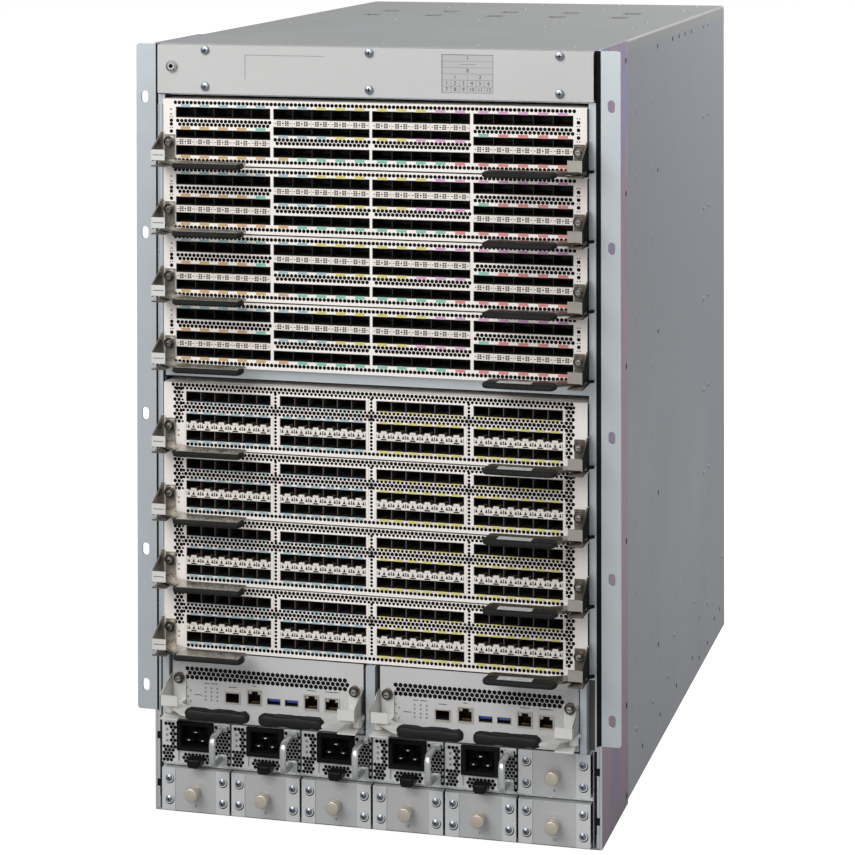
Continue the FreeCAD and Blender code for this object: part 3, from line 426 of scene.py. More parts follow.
card_paint = finish("card_paint", (0.87, 0.825, 0.775), (0.81, 0.76, 0.715), smoothest=0.38, roughest=0.5)
module_paint = finish("module_paint", (0.56, 0.56, 0.55), (0.50, 0.50, 0.495), smoothest=0.34, roughest=0.46)
header_paint = finish("header_paint", (0.54, 0.54, 0.53), (0.50, 0.50, 0.49), smoothest=0.32, roughest=0.42,
                      patch=6.0, stretch=(0.2, 1, 1))
filler_metal = finish("filler_metal", (0.56, 0.56, 0.56), (0.50, 0.505, 0.51), metallic=0.35, smoothest=0.34,
                      roughest=0.44, stretch=(1, 1, 0.12), bump=0.08)
filler_edge = finish("filler_edge", (0.70, 0.70, 0.70), (0.64, 0.645, 0.65), metallic=0.35, smoothest=0.30,
                     roughest=0.40, stretch=(1, 1, 0.12), bump=0.08)
panel_metal = finish("panel_metal", (0.315, 0.32, 0.345), (0.275, 0.28, 0.305), metallic=0.25, smoothest=0.40,
                     roughest=0.52, patch=4.0, grain=600.0, bump=0.10)
cover_metal = finish("cover_metal", (0.33, 0.33, 0.33), (0.30, 0.30, 0.30), metallic=0.25, smoothest=0.40,
                     roughest=0.52, patch=4.0, grain=600.0, bump=0.10)
zinc = finish("zinc", (0.60, 0.64, 0.66), (0.53, 0.57, 0.60), metallic=0.55, smoothest=0.30, roughest=0.42,
              patch=22.0, grain=500.0, bump=0.08)
zinc_bright = finish("zinc_bright", (0.66, 0.67, 0.67), (0.56, 0.58, 0.59), metallic=0.7, smoothest=0.22,
                     roughest=0.36, patch=30.0)
nickel = finish("nickel", (0.60, 0.56, 0.50), (0.48, 0.45, 0.40), metallic=0.9, smoothest=0.20, roughest=0.34,
                patch=60.0, grain=1500.0, bump=0.05)
shield_metal = finish("shield_metal", (0.62, 0.57, 0.50), (0.52, 0.47, 0.41), metallic=0.5, smoothest=0.26,
                      roughest=0.38,
                      patch=90.0)
# A darker copy of the nickel for bracket, cup and lever surfaces: painted shade.
nickel_shaded = finish("nickel_shaded", (0.25, 0.22, 0.185), (0.16, 0.14, 0.115), metallic=0.9, smoothest=0.22,
                     roughest=0.36, patch=60.0, grain=1500.0, bump=0.05)
tag_metal = finish("tag_metal", (0.74, 0.73, 0.70), (0.66, 0.65, 0.62), metallic=0.3, smoothest=0.34,
                   roughest=0.44, patch=40.0)
strip_metal = finish("strip_metal", (0.90, 0.85, 0.78), (0.80, 0.75, 0.69), metallic=0.3, smoothest=0.30,
                     roughest=0.42, patch=90.0)
frame_paint = finish("frame_paint", (0.84, 0.78, 0.74), (0.78, 0.72, 0.68), smoothest=0.38, roughest=0.5)
map_paper = finish("map_paper", (0.46, 0.46, 0.45), (0.42, 0.42, 0.41), smoothest=0.45, roughest=0.55)
label_paper = finish("label_paper", (0.60, 0.62, 0.62), (0.42, 0.44, 0.44), smoothest=0.3, roughest=0.4,
                     patch=200.0)
steel = finish("steel", (0.66, 0.66, 0.65), (0.52, 0.52, 0.51), metallic=1.0, smoothest=0.16, roughest=0.28,
               patch=80.0)
screw_blue = finish("screw_blue", (0.34, 0.37, 0.42), (0.24, 0.27, 0.32), metallic=0.9, smoothest=0.22,
                    roughest=0.34,
                    patch=80.0)
brass_knob = finish("brass_knob", (0.62, 0.55, 0.46), (0.54, 0.48, 0.40), metallic=0.5, smoothest=0.28,
                    roughest=0.40, patch=90.0)
wall_shade = finish("wall_shade", (0.085, 0.082, 0.080), (0.065, 0.062, 0.060), metallic=0.2, smoothest=0.4,
                    roughest=0.5)
grey_print = finish("grey_print", (0.30, 0.30, 0.30), (0.26, 0.26, 0.26), smoothest=0.5, roughest=0.6)
rubber = finish("rubber", (0.011, 0.0105, 0.010), (0.006, 0.006, 0.0055), smoothest=0.5, roughest=0.66,
                patch=60.0, grain=1800.0, bump=0.25, specular=0.25)
black_plastic = finish("black_plastic", (0.016, 0.016, 0.018), (0.009, 0.009, 0.010), smoothest=0.30,
                       roughest=0.44, patch=40.0, grain=1600.0, bump=0.15)
hole_dark = finish("hole_dark", (0.008, 0.0075, 0.007), (0.004, 0.004, 0.0035), smoothest=0.7, roughest=0.85,
                   specular=0.08)
# Plain black: the finish of black plastic parts, and painted shadow in the gaps beside the posts and levers.
black_and_shadow = finish("black_and_shadow", (0.012, 0.012, 0.013), (0.007, 0.007, 0.008), smoothest=0.6, roughest=0.75,
                   specular=0.05)
# Near-black for the insides of port cages and sockets: painted shade.
inside_shade = finish("inside_shade", (0.030, 0.024, 0.019), (0.012, 0.010, 0.008), metallic=0.3,
                     smoothest=0.45,
                     roughest=0.6, patch=200.0)
cage_metal = finish("cage_metal", (0.42, 0.39, 0.35), (0.30, 0.28, 0.25), metallic=0.8, smoothest=0.24,
                    roughest=0.38, patch=90.0)
cage_edge = finish("cage_edge", (0.16, 0.145, 0.13), (0.10, 0.09, 0.08), metallic=0.4, smoothest=0.3,
                   roughest=0.42,
                   patch=90.0)
cage_edge_shaded = finish("cage_edge_shaded", (0.055, 0.05, 0.045), (0.03, 0.027, 0.024), metallic=0.4,
                        smoothest=0.3,
                        roughest=0.42, patch=90.0)
spring_metal = finish("spring_metal", (0.14, 0.095, 0.055), (0.08, 0.055, 0.03), metallic=0.6, smoothest=0.28,
                      roughest=0.4, patch=120.0)
slot_brown = finish("slot_brown", (0.028, 0.022, 0.018), (0.016, 0.012, 0.010), smoothest=0.6, roughest=0.75,
                    specular=0.08)
contact_gold = finish("contact_gold", (0.62, 0.42, 0.18), (0.50, 0.33, 0.13), metallic=1.0, smoothest=0.22,
                      roughest=0.32, patch=120.0)
usb_blue = finish("usb_blue", (0.035, 0.10, 0.42), (0.025, 0.07, 0.32), smoothest=0.30, roughest=0.42,
                  patch=60.0)
board_green = finish("board_green", (0.03, 0.14, 0.07), (0.02, 0.10, 0.05), smoothest=0.35, roughest=0.5,
                     patch=40.0)
print_dark = finish("print_dark", (0.045, 0.045, 0.05), (0.03, 0.03, 0.035), smoothest=0.5, roughest=0.6)
print_white = finish("print_white", (0.78, 0.77, 0.74), (0.72, 0.71, 0.68), smoothest=0.40, roughest=0.5)
lamp_dim = finish("lamp_dim", (0.34, 0.33, 0.31), (0.24, 0.23, 0.21), smoothest=0.2, roughest=0.3,
                  patch=300.0)
fan_plastic = finish("fan_plastic", (0.022, 0.022, 0.024), (0.014, 0.014, 0.016), smoothest=0.36,
                     roughest=0.5,
                     patch=20.0)
mark_colours = {"sky": (0.36, 0.50, 0.53), "yellow": (0.68, 0.60, 0.20), "orange": (0.60, 0.40, 0.21),
                "teal": (0.25, 0.52, 0.42), "pink": (0.66, 0.37, 0.56), "red": (0.66, 0.26, 0.24)}
mark_order = list(mark_colours)
mark_prints = [finish("mark_" + name, colour, smoothest=0.45, roughest=0.55, patch=150.0)
               for name, colour in mark_colours.items()]


def make_leg_zinc():
    """The flange's side leg: passivated zinc over the sheet surface, darker towards the bottom as painted
    shade.
    """
    material = finish("leg_zinc", (0.5, 0.5, 0.5), metallic=0.2, smoothest=0.32, roughest=0.44, patch=10.0,
                      grain=500.0, bump=0.08)
    tree = material.node_tree
    tint = tree.nodes.new("ShaderNodeGroup")
    tint.node_tree = passivation_and_shade
    tint.inputs["Strength"].default_value = 0.85
    tree.links.new(tint.outputs["Colour"], tree.nodes["Principled BSDF"].inputs["Base Color"])
    return material


leg_zinc = make_leg_zinc()


def paint(node, base, regions=()):
    """Finishes a CAD node: the base everywhere, and each region's finish on the faces whose centre is in
    it."""
    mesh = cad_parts[node].data
    count = len(mesh.polygons)
    centres = np.empty(count * 3)
    mesh.polygons.foreach_get("center", centres)
    centres = centres.reshape(-1, 3) / MM
    chosen = np.zeros(count, int)
    mesh.materials.clear()
    mesh.materials.append(base)
    for number, (material, low, high) in enumerate(regions, start=1):
        mesh.materials.append(material)
        inside = np.all((centres >= np.array(low)) & (centres <= np.array(high)), axis=1)
        chosen[inside] = number
    mesh.polygons.foreach_set("material_index", chosen)


everywhere = 1e4


def slab(low_y, high_y, low_z=-everywhere, high_z=everywhere, low_x=-everywhere, high_x=everywhere):
    """The corners of a region, open on the sides that are not given."""
    return (low_x, low_y, low_z), (high_x, high_y, high_z)


# ---- Perforations, port cages and marks of the line cards ------------------------------------------
hole_pitch = 4.09
hole_radius = 1.86
large_centres = (-149.3, -49.6, 49.6, 149.3)
large_half = 48.0
large_ports = 5
large_pitch = 19.2
outer_rows = ((9.7, 18.8), (26.3, 34.1), (46.3, 56.1))
inner_rows = ((9.7, 18.8), (31.0, 38.8), (46.3, 56.1))
outer_strip = (19.1, 26.0)
inner_strip = (39.1, 46.0)
small_centres = (-144.2, -48.4, 48.4, 144.2)
small_half = 42.9
small_ports = 6
small_pitch = 14.3
small_rows = ((8.7, 18.0), (26.4, 34.2), (46.5, 55.7))
small_strip = (18.3, 26.1)
small_frame_out = 0.6
port_depth = 47.0
# The colours of the marks: above the upper row, beside the middle row, and below the lower row
large_marks = (("sky sky sky sky sky", "orange orange orange orange teal",
                "orange orange orange orange orange"),
               ("sky sky yellow yellow yellow", "sky sky sky yellow yellow", "orange teal teal teal teal"),
               ("yellow yellow yellow pink pink", "yellow yellow pink pink pink", "teal teal teal teal red"),
               ("pink pink pink pink pink", "teal red red red red", "red red red red red"))


def port_columns(centre, count, pitch):
    """The centres of the ports in one group."""
    return centre + (np.arange(count) - (count - 1) / 2.0) * pitch


def rows_of(large, group):
    """The rises of a group's port rows."""
    if not large:
        return small_rows
    return outer_rows if group in (0, 3) else inner_rows


def card_layout(large):
    """Group centres, ports in a row and port pitch."""
    if large:
        return large_centres, large_ports, large_pitch
    return small_centres, small_ports, small_pitch


def large_card_holes():
    """Holes of a card with wide ports: x, rise, radius and how far their sheet stands out."""
    wide, fine = hole_radius, 0.62
    places = []

    def put(pairs, radius):
        pairs = np.asarray(pairs, float).reshape(-1, 2)
        places.append(np.column_stack([pairs, np.full(len(pairs), radius), np.zeros(len(pairs))]))

    put(grid(row(-198.2, 198.2, hole_pitch), [60.6]), wide)
    put(grid(row(-198.2, 198.2, hole_pitch), [4.6]), wide)
    for group, centre in enumerate(large_centres):
        left, right = centre - large_half + 1.6, centre + large_half - 1.6
        if group in (0, 3):
            put(grid(row(left, right, hole_pitch, 0.5 if group else 0.0), [42.9]), wide)
            put(grid(row(left, right, hole_pitch, 0.0 if group else 0.5), [39.35]), wide)
        else:
            put(grid(row(left, right, hole_pitch), [26.6]), wide)
            put(grid(row(left, right - 2.0, hole_pitch, 0.5), [23.1]), wide)
    put(grid([-202.4], [43.0, 39.35, 32.4]), wide)
    put(grid([-203.6, -201.2], [46.4, 35.9]), fine)
    put(grid([202.6], [50.0, 42.8, 35.6]), wide)
    put(grid([201.4, 203.8], [53.6, 46.4, 39.2, 32.0]), fine)
    return np.concatenate(places)


def small_card_holes():
    """Holes of a card with narrow ports: x, rise, radius and how far their sheet stands out."""
    places = []

    def put(pairs, radius, out=0.0):
        pairs = np.asarray(pairs, float).reshape(-1, 2)
        places.append(np.column_stack([pairs, np.full(len(pairs), radius), np.full(len(pairs), out)]))

    step = hole_pitch * math.sqrt(3.0) / 2.0
    put(grid(row(-201.0, 197.0, hole_pitch), [62.0]), 1.84)
    put(grid(row(-201.0, 197.0, hole_pitch, 0.5), [58.9]), 1.5)
    put(grid(row(-186.0, 187.0, hole_pitch), [4.6]), 1.75)
    frame_out = small_frame_out + 0.05
    for shift, rise, radius in ((0.0, 41.0 + step - 0.2, 1.5), (0.5, 41.0, 1.88),
                                (0.0, 41.0 - step + 0.2, 1.5)):
        put(grid(row(-190.0, 189.5, hole_pitch, shift), [rise]), radius, frame_out)
    for x in (-96.3, 0.0, 96.3):
        put(grid([x], row(46.4, 56.6, step)), 1.45)
        put(grid([x], row(9.4, 36.0, step)), 1.45)
    for k in range(14):
        rise = 12.2 + step * k
        odd = k % 2
        put([(190.8 if odd else 192.9, rise), (194.9 if odd else 197.0, rise)][:2 if odd or k >= 6 else 1],
            1.86)
        if not odd:
            put([(189.6, rise)], 1.2)
        if k >= 4:
            put([(-193.0, rise), (-197.1, rise)] if odd else [(-195.1, rise), (-199.2, rise)], 1.86)
            if not odd:
                put([(-191.4, rise)], 1.2)
    return np.concatenate(places)


def cage_liners(large, bottom):
    """The lining of each port opening, dark as painted shade: five plates just inside its walls, open to the
    front, and a thin rim round it."""
    centres = card_layout(large)[0]
    half = large_half if large else small_half
    rows = []
    out = 0.0 if large else small_frame_out
    rim = 0.35
    front = reach(face_reach + out + 0.04)
    back = reach(face_reach - port_depth)
    lip = front + 0.3
    for group, centre in enumerate(centres):
        for low, high in rows_of(large, group):
            left, right = centre - half, centre + half
            z0, z1 = bottom + low, bottom + high
            rows += [(left, right, front, back, z0, z0 + 0.3), (left, right, front, back, z1 - 0.3, z1),
                     (left, left + 0.3, front, back, z0, z1), (right - 0.3, right, front, back, z0, z1),
                     (left, right, back - 12.0, back, z0, z1),
                     (left - rim, right + rim, front, lip, z0 - rim, z0),
                     (left - rim, right + rim, front, lip, z1, z1 + rim),
                     (left - rim, left, front, lip, z0, z1), (right, right + rim, front, lip, z0, z1)]
    return plates(rows)


def cage_walls(large, bottom):
    """The thin sheet walls between neighbouring ports."""
    centres, count, pitch = card_layout(large)
    thick = 0.22 if large else 0.34
    set_back = 0.9 if large else 0.4
    rows = []
    for group, centre in enumerate(centres):
        edges = port_columns(centre, count + 1, pitch)[1:-1]
        for low, high in rows_of(large, group):
            rows += [(x - thick, x + thick, reach(face_reach - set_back), reach(face_reach - 34.0),
                      bottom + low, bottom + high) for x in edges]
    return plates(rows)


def cage_springs(large, bottom):
    """Small bent spring fingers inside the ports: short slanted tongues near each roof, and over the middle
    strip of a card with narrow ports a flat one near the floor."""
    centres, count, pitch = card_layout(large)
    places = []
    for group, centre in enumerate(centres):
        for low, high in rows_of(large, group):
            for port in port_columns(centre, count, pitch):
                places.append((port + pitch * 0.12, reach(face_reach - 3.5), bottom + high - 0.35))
    tongue = np.array([[-0.5, 0, 0], [0.5, 0, 0], [0.5, 5.0, -1.3], [-0.5, 5.0, -1.3], [0.5, 7.5, 0],
                       [-0.5, 7.5, 0]], float)
    faces = [np.array([[0, 3, 2, 1], [3, 5, 4, 2], [0, 1, 4, 5]])]
    parts = [stamped((tongue, faces), places)]
    if not large:
        low = bottom + small_rows[1][0]
        rows = [(x + 1.4, x + 5.4, reach(face_reach - 0.6), reach(face_reach - 3.0), low + 1.5, low + 1.95)
                for centre in centres for x in port_columns(centre, count, pitch)]
        parts.append(plates(rows))
    return joined(parts)


def strip_plates(large, bottom):
    """The bright cage strips between two stacked port rows; on narrow ports each has a raised tab at its
    middle."""
    rows = []
    centres, count, pitch = card_layout(large)
    y0, y1 = reach(face_reach + 0.75), reach(face_reach - 1.0)
    for group, centre in enumerate(centres):
        low, high = small_strip if not large else (outer_strip if group in (0, 3) else inner_strip)
        for port in port_columns(centre, count, pitch):
            rows.append((port - pitch / 2 + 0.2, port + pitch / 2 - 0.2, y0, y1, bottom + low, bottom + high))
            if not large:
                rows.append((port - 2.7, port + 2.7, y0, y1, bottom + high, bottom + high + 1.1))
    return plates(rows)


def strip_slots(large, bottom):
    """The dark openings in those strips: squares and dashes on wide ports, triangles and slits on narrow
    ones."""
    y = reach(face_reach + 0.80)
    centres, count, pitch = card_layout(large)
    ports = np.concatenate([port_columns(centre, count, pitch) for centre in centres])
    if large:
        pieces = [(x, z, 0.86, 0.60) for x in (-5.1, -2.9, 2.9, 5.1) for z in (-1.65, 0.0, 1.65)]
        pieces += [(0.0, 0.0, 0.8, 0.7), (-7.7, 0.0, 0.8, 0.35), (7.7, 0.0, 0.8, 0.35),
                   (0.0, 2.1, 0.35, 0.35),
                   (0.0, -2.1, 0.35, 0.35)]
        opening = joined([flat_shapes([(x - w, z - h), (x + w, z - h), (x + w, z + h), (x - w, z + h)], 0.0)
                          for x, z, w, h in pieces])
        rise = [(outer_strip if group in (0, 3) else inner_strip) for group in range(4)]
        middle = np.repeat([(low + high) / 2.0 for low, high in rise], count)
    else:
        right = [[(3.6, -1.6), (6.1, -1.6), (4.9, 2.1)], [(2.5, 3.6), (3.8, 2.6), (6.2, 3.9), (4.2, 3.9)],
                 [(6.65, -1.9), (7.1, -1.9), (7.1, 1.9), (6.65, 1.9)]]
        middle_ones = [[(-1.5, -1.5), (1.5, -1.5), (0.0, 2.0)],
                       [(-3.1, -3.5), (3.1, -3.5), (2.3, -2.2), (-2.3, -2.2)],
                       [(-0.9, 2.6), (0.9, 2.6), (0.9, 2.85), (-0.9, 2.85)]]
        left = [[(-x, z) for x, z in outline[::-1]] for outline in right]
        opening = joined([flat_shapes(outline, 0.0) for outline in right + middle_ones + left])
        middle = np.full(len(ports), sum(small_strip) / 2.0)
    return stamped(opening, np.stack([ports, np.full(len(ports), y), bottom + middle], axis=-1))


def card_marks(large, bottom):
    """The colour bands that number the ports, as thin prints: shapes and the print each one takes."""
    parts = []
    which = []
    y0, y1 = reach(face_reach + (small_frame_out if not large else 0.0) + 0.08), reach(face_reach)
    centres, count, pitch = card_layout(large)
    for group, centre in enumerate(centres):
        ports = port_columns(centre, count, pitch)
        if large:
            spans = ((56.2, 59.0), (34.2, 37.4) if group in (0, 3) else (28.2, 30.9), (6.5, 9.6))
            for (low, high), names in zip(spans, large_marks[group]):
                for x, name in zip(ports, names.split()):
                    parts.append(block(x - 4.9, x + 4.9, y0, y1, bottom + low, bottom + high))
                    which.append(mark_order.index(name))
        else:
            name = "sky" if group < 2 else "yellow"
            for low, high in ((44.3, 46.4), (34.3, 36.8), (6.2, 8.6)):
                for x in ports:
                    parts.append(block(x - 4.4, x + 4.4, y0, y1, bottom + low, bottom + high))
                    which.append(mark_order.index(name))
    return parts, which


def dress_card(name):
    """Holes, cages, strips, marks, lamps and slot tags of one line card."""
    large = name in large_cards
    bottom = limits(name)[0][2]
    x, rise, radius, out = (large_card_holes() if large else small_card_holes()).T
    places = np.stack([x, reach(face_reach + 0.05) - out, bottom + rise, radius], axis=-1)
    add(name + "_holes", dots(places, 10), hole_dark, name)
    # The walls between wide ports take a darker copy of the cage edge: painted shade.
    edge = cage_edge_shaded if large else cage_edge
    add(name + "_cages", [cage_liners(large, bottom), cage_walls(large, bottom), cage_springs(large, bottom)],
        [inside_shade, edge, spring_metal], name, which=[0, 1, 2])
    add(name + "_strips", [strip_plates(large, bottom), strip_slots(large, bottom)],
        [strip_metal, slot_brown],
        name, which=[0, 1])
    parts, which = card_marks(large, bottom)
    add(name + "_marks", parts, mark_prints, name, which=which)
    lamp_x = -202.6 if large else -195.6
    rises = (54.0, 49.2) if large else (17.4, 12.8)
    lamp = turned([(1.1, 0.0), (1.0, 0.35), (0.6, 0.5)], 10)
    lamps = stamped(lamp, [(lamp_x, reach(face_reach), bottom + rise) for rise in rises])
    add(name + "_lamps", lamps, lamp_dim, name, smooth=True)
    add(name + "_tag_prints", tag_print(-205.1, bottom + 12.3, 7), print_dark, name)
    paint(name, card_paint, card_regions(bottom, large))


def tag_print(x, z, count):
    """A short row of plain dashes on a slot tag."""
    starts = x + (np.arange(count) - (count - 1) / 2.0) * 1.55
    y = reach(37.5)
    return plates([(s - 0.6, s + 0.6, y - 0.05, y, z - 0.42, z + 0.42) for s in starts])


def card_regions(bottom, large):
    """The finishes of a card: its brackets are nickel darkened as painted shade, its left tags brighter than
    the right ones as painted light, its outer cheeks black as painted shadow, and what is behind the face is
    bare metal."""
    front, behind = reach(60.0), reach(face_reach + 0.8)
    tag_y = reach(37.6), reach(37.4)
    tag_z = bottom + 7.0, bottom + 17.6
    top = bottom + 64.0
    regions = [(cage_metal,) + slab(reach(face_reach - 1.6), everywhere)]
    regions.append((card_paint,) + slab(reach(face_reach + 0.7), reach(face_reach - 30.0), low_z=top - 2.0))
    # Brackets and cheeks in the shaded nickel: painted shade.
    for low_x, high_x in ((195.0, everywhere), (-everywhere, -195.0)):
        regions.append((nickel_shaded,) + slab(front, behind, low_x=low_x, high_x=high_x))
    for low_x, high_x in ((card_half + 0.1, everywhere), (-everywhere, -card_half - 0.1)):
        regions.append((nickel_shaded,) + slab(front, reach(0), low_x=low_x, high_x=high_x))
    # Left tags in the brighter tag metal, right tags in plain nickel: painted light on the left, painted
    # shade on the right.
    regions.append((tag_metal,) + slab(*tag_y, *tag_z, high_x=0.0))
    regions.append((nickel,) + slab(*tag_y, *tag_z, low_x=0.0))
    # The cheeks' outer sides in black: painted shadow of the gap beside the post.
    for low_x, high_x in ((card_half + 1.35, everywhere), (-everywhere, -card_half - 1.35)):
        regions.append((black_and_shadow,) + slab(front, reach(0), low_x=low_x, high_x=high_x))
    if not large:
        regions.append((frame_paint,) + slab(reach(face_reach + 0.7), reach(face_reach + 0.5)))
    return regions


# ---- Levers --------------------------------------------------------------------------------------
def grip_skin(length, half_deep, half_high, waves, wave_depth, ends):
    """A moulded grip along x: a rounded-square section whose half depth and height shrink to the ends as a
    quarter circle, with a sine wave along the front and top where it has finger waves."""
    along = np.linspace(0.0, 1.0, 49)
    from_end = np.minimum(along, 1.0 - along) * length
    swell = np.sqrt(np.clip(1.0 - (1.0 - np.clip(from_end / ends, 0.0, 1.0)) ** 2, 0.02, 1.0))
    ripple = wave_depth * np.sin(2.0 * math.pi * waves * along) if waves else 0.0 * along
    turn = 2.0 * math.pi * (np.arange(16) + 0.5) / 16
    a = np.sign(np.cos(turn)) * np.abs(np.cos(turn)) ** 0.55
    b = np.sign(np.sin(turn)) * np.abs(np.sin(turn)) ** 0.55
    section = np.stack([half_deep * (0.35 + 0.65 * swell)[:, None] * a,
                        (half_high * (0.45 + 0.55 * swell) + ripple)[:, None] * b], axis=-1)
    path = np.stack([along * length, 0.0 * along, 0.0 * along], axis=-1)
    return carried(path, section, (0, 0, 1))


def thumb_screw(radius, length, ribs=18):
    """A captive screw: shank, knurled head whose radius ripples round the turn, and a slot across it."""
    head = turned([(radius * 0.62, 0.0), (radius * 0.62, length * 0.35), (radius * 0.94, length * 0.38),
                   (radius, length * 0.5), (radius, length * 0.92), (radius * 0.86, length)], 2 * ribs)
    points = head[0].copy()
    turn = np.arange(len(points)) % 2
    rim = (points[:, 1] < -length * 0.4) & (points[:, 1] > -length * 0.95)
    points[rim] = points[rim] * np.where(turn[rim] == 1, 0.93, 1.0)[:, None] ** np.array([1.0, 0.0, 1.0])
    slot = block(-radius * 0.8, radius * 0.8, -length - 0.04, -length + 0.2, -radius * 0.13, radius * 0.13)
    return (points, head[1]), slot


def dress_lever(name, side, hinge_x, bottom, large, label=False):
    """Grip, thumb screw and finish of one ejector lever; side is 1 at a module's right-hand edge."""
    if large:
        start, end, deep, low, high, front, waves = 26.5, 88.8, 9.6, 14.3, 24.1, 52.3, 2
        screw_in, screw_rise = 5.8, 41.0
    else:
        start, end, deep, low, high, front, waves = 21.0, 89.5, 17.5, 0.8, 6.0, 49.0, 0
        screw_in, screw_rise = 5.0, 22.5
    tab_reach, screw_radius, screw_length = 8.8, 2.9, 6.2
    skin = grip_skin(end - start + 1.6, deep / 2 + 0.5, (high - low) / 2 + 0.45, waves, 0.5 if waves else 0.0,
                     6.0)
    left = hinge_x - end - 0.8 if side > 0 else hinge_x + start - 0.8
    skin = placed(skin, left, reach(front - deep / 2), bottom + (low + high) / 2)
    add(name + "_grip", skin, rubber, name, smooth=True)
    top = bottom + high
    if label:
        strip = block(left + 14.0, left + 47.0, reach(front - 3.5), reach(front - 14.0), top, top + 0.55)
        add(name + "_label", strip, label_paper, name)
    if side < 0 and not large:
        blade = block(left + 4.0, left + end - start - 1.5, reach(front - 2.2), reach(30.0), top, top + 0.62)
        add(name + "_blade_top", blade, nickel, name)
    head, slot = thumb_screw(screw_radius, screw_length)
    x = hinge_x - side * screw_in
    # The cup round the screw takes the shaded nickel: painted shade.
    cup = turned([(5.4, 0.0), (5.4, 2.6), (5.1, 2.9), (4.8, 2.6), (4.6, 0.4)], 24)
    screw = [placed(part, x, reach(tab_reach), bottom + screw_rise) for part in (head, slot, cup)]
    add(name + "_screw", screw, [steel, hole_dark, nickel_shaded], name, which=[0, 1, 2],
        smooth=True)
    # The lever's toe beside the post is painted black: painted shadow of the gap there.
    toe_x = hinge_x + side * 3.8
    low_x, high_x = (toe_x, everywhere) if side > 0 else (-everywhere, toe_x)
    toe_shadow = slab(reach(bracket_reach), reach(0), low_x=low_x, high_x=high_x)
    if large:
        near, far = sorted((hinge_x - side * start, hinge_x - side * end))
        grip = slab(reach(56.0), reach(42.5), bottom + 13.0, bottom + 26.0, near, far)
        paint(name, tag_metal, ((rubber,) + grip,))
    else:
        # Right-hand levers take the shaded nickel and left-hand ones plain nickel: painted shade on the
        # right.
        paint(name, nickel_shaded if side > 0 else nickel, ((black_and_shadow,) + toe_shadow,))


def dress_all_levers():
    """Every card lever and every module lever."""
    for card in card_names:
        bottom = limits(card)[0][2]
        number = card.split("_")[-1]
        for side, word in ((1, "right"), (-1, "left")):
            label = side > 0 and int(number) >= 4
            dress_lever("card_lever_%s_%s" % (number, word), side, side * card_hinge, bottom, False, label)
    for number, centre in module_centres.items():
        bottom = limits("management_module_%d" % number)[0][2]
        for side, word in ((1, "right"), (-1, "left")):
            hinge_x = centre + side * module_hinge
            dress_lever("module_lever_%d_%s" % (number, word), side, hinge_x, bottom, True)


# ---- Header --------------------------------------------------------------------------------------
def cross_screw(radius, height):
    """A pan-head screw: a domed head, and a cross of two dark bars let into its crown."""
    head = turned([(radius, 0.0), (radius, height * 0.45), (radius * 0.9, height * 0.8),
                   (radius * 0.62, height)], 20)
    bars = [block(-radius * 0.48, radius * 0.48, -height - 0.03, -height + 0.2, -radius * 0.1, radius * 0.1),
            block(-radius * 0.1, radius * 0.1, -height - 0.03, -height + 0.2, -radius * 0.48, radius * 0.48)]
    return head, joined(bars)


def numerals(name, text, size, x, y, z, material, body, thick=0.05):
    """Plain numbers, drawn as a thin mesh that faces the front, centred on x and z."""
    curve = bpy.data.curves.new(name + "_outline", "FONT")
    curve.body = text
    curve.size = size * MM
    curve.align_x = "CENTER"
    curve.align_y = "CENTER"
    holder = bpy.data.objects.new(name + "_outline", curve)
    bpy.context.scene.collection.objects.link(holder)
    bpy.context.view_layer.update()
    graph = bpy.context.evaluated_depsgraph_get()
    mesh = bpy.data.meshes.new_from_object(holder.evaluated_get(graph))
    bpy.data.objects.remove(holder)
    count = len(mesh.vertices)
    points = np.empty(count * 3)
    mesh.vertices.foreach_get("co", points)
    points = points.reshape(-1, 3)
    points = np.stack([points[:, 0] + x * MM, np.full(count, (y - thick) * MM), points[:, 1] + z * MM],
                      axis=-1)
    mesh.vertices.foreach_set("co", points.ravel())
    mesh.materials.clear()
    mesh.materials.append(material)
    mesh.update()
    mesh.name = name
    piece = bpy.data.objects.new(name, mesh)
    bpy.context.scene.collection.objects.link(piece)
    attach(piece, body)
    return piece


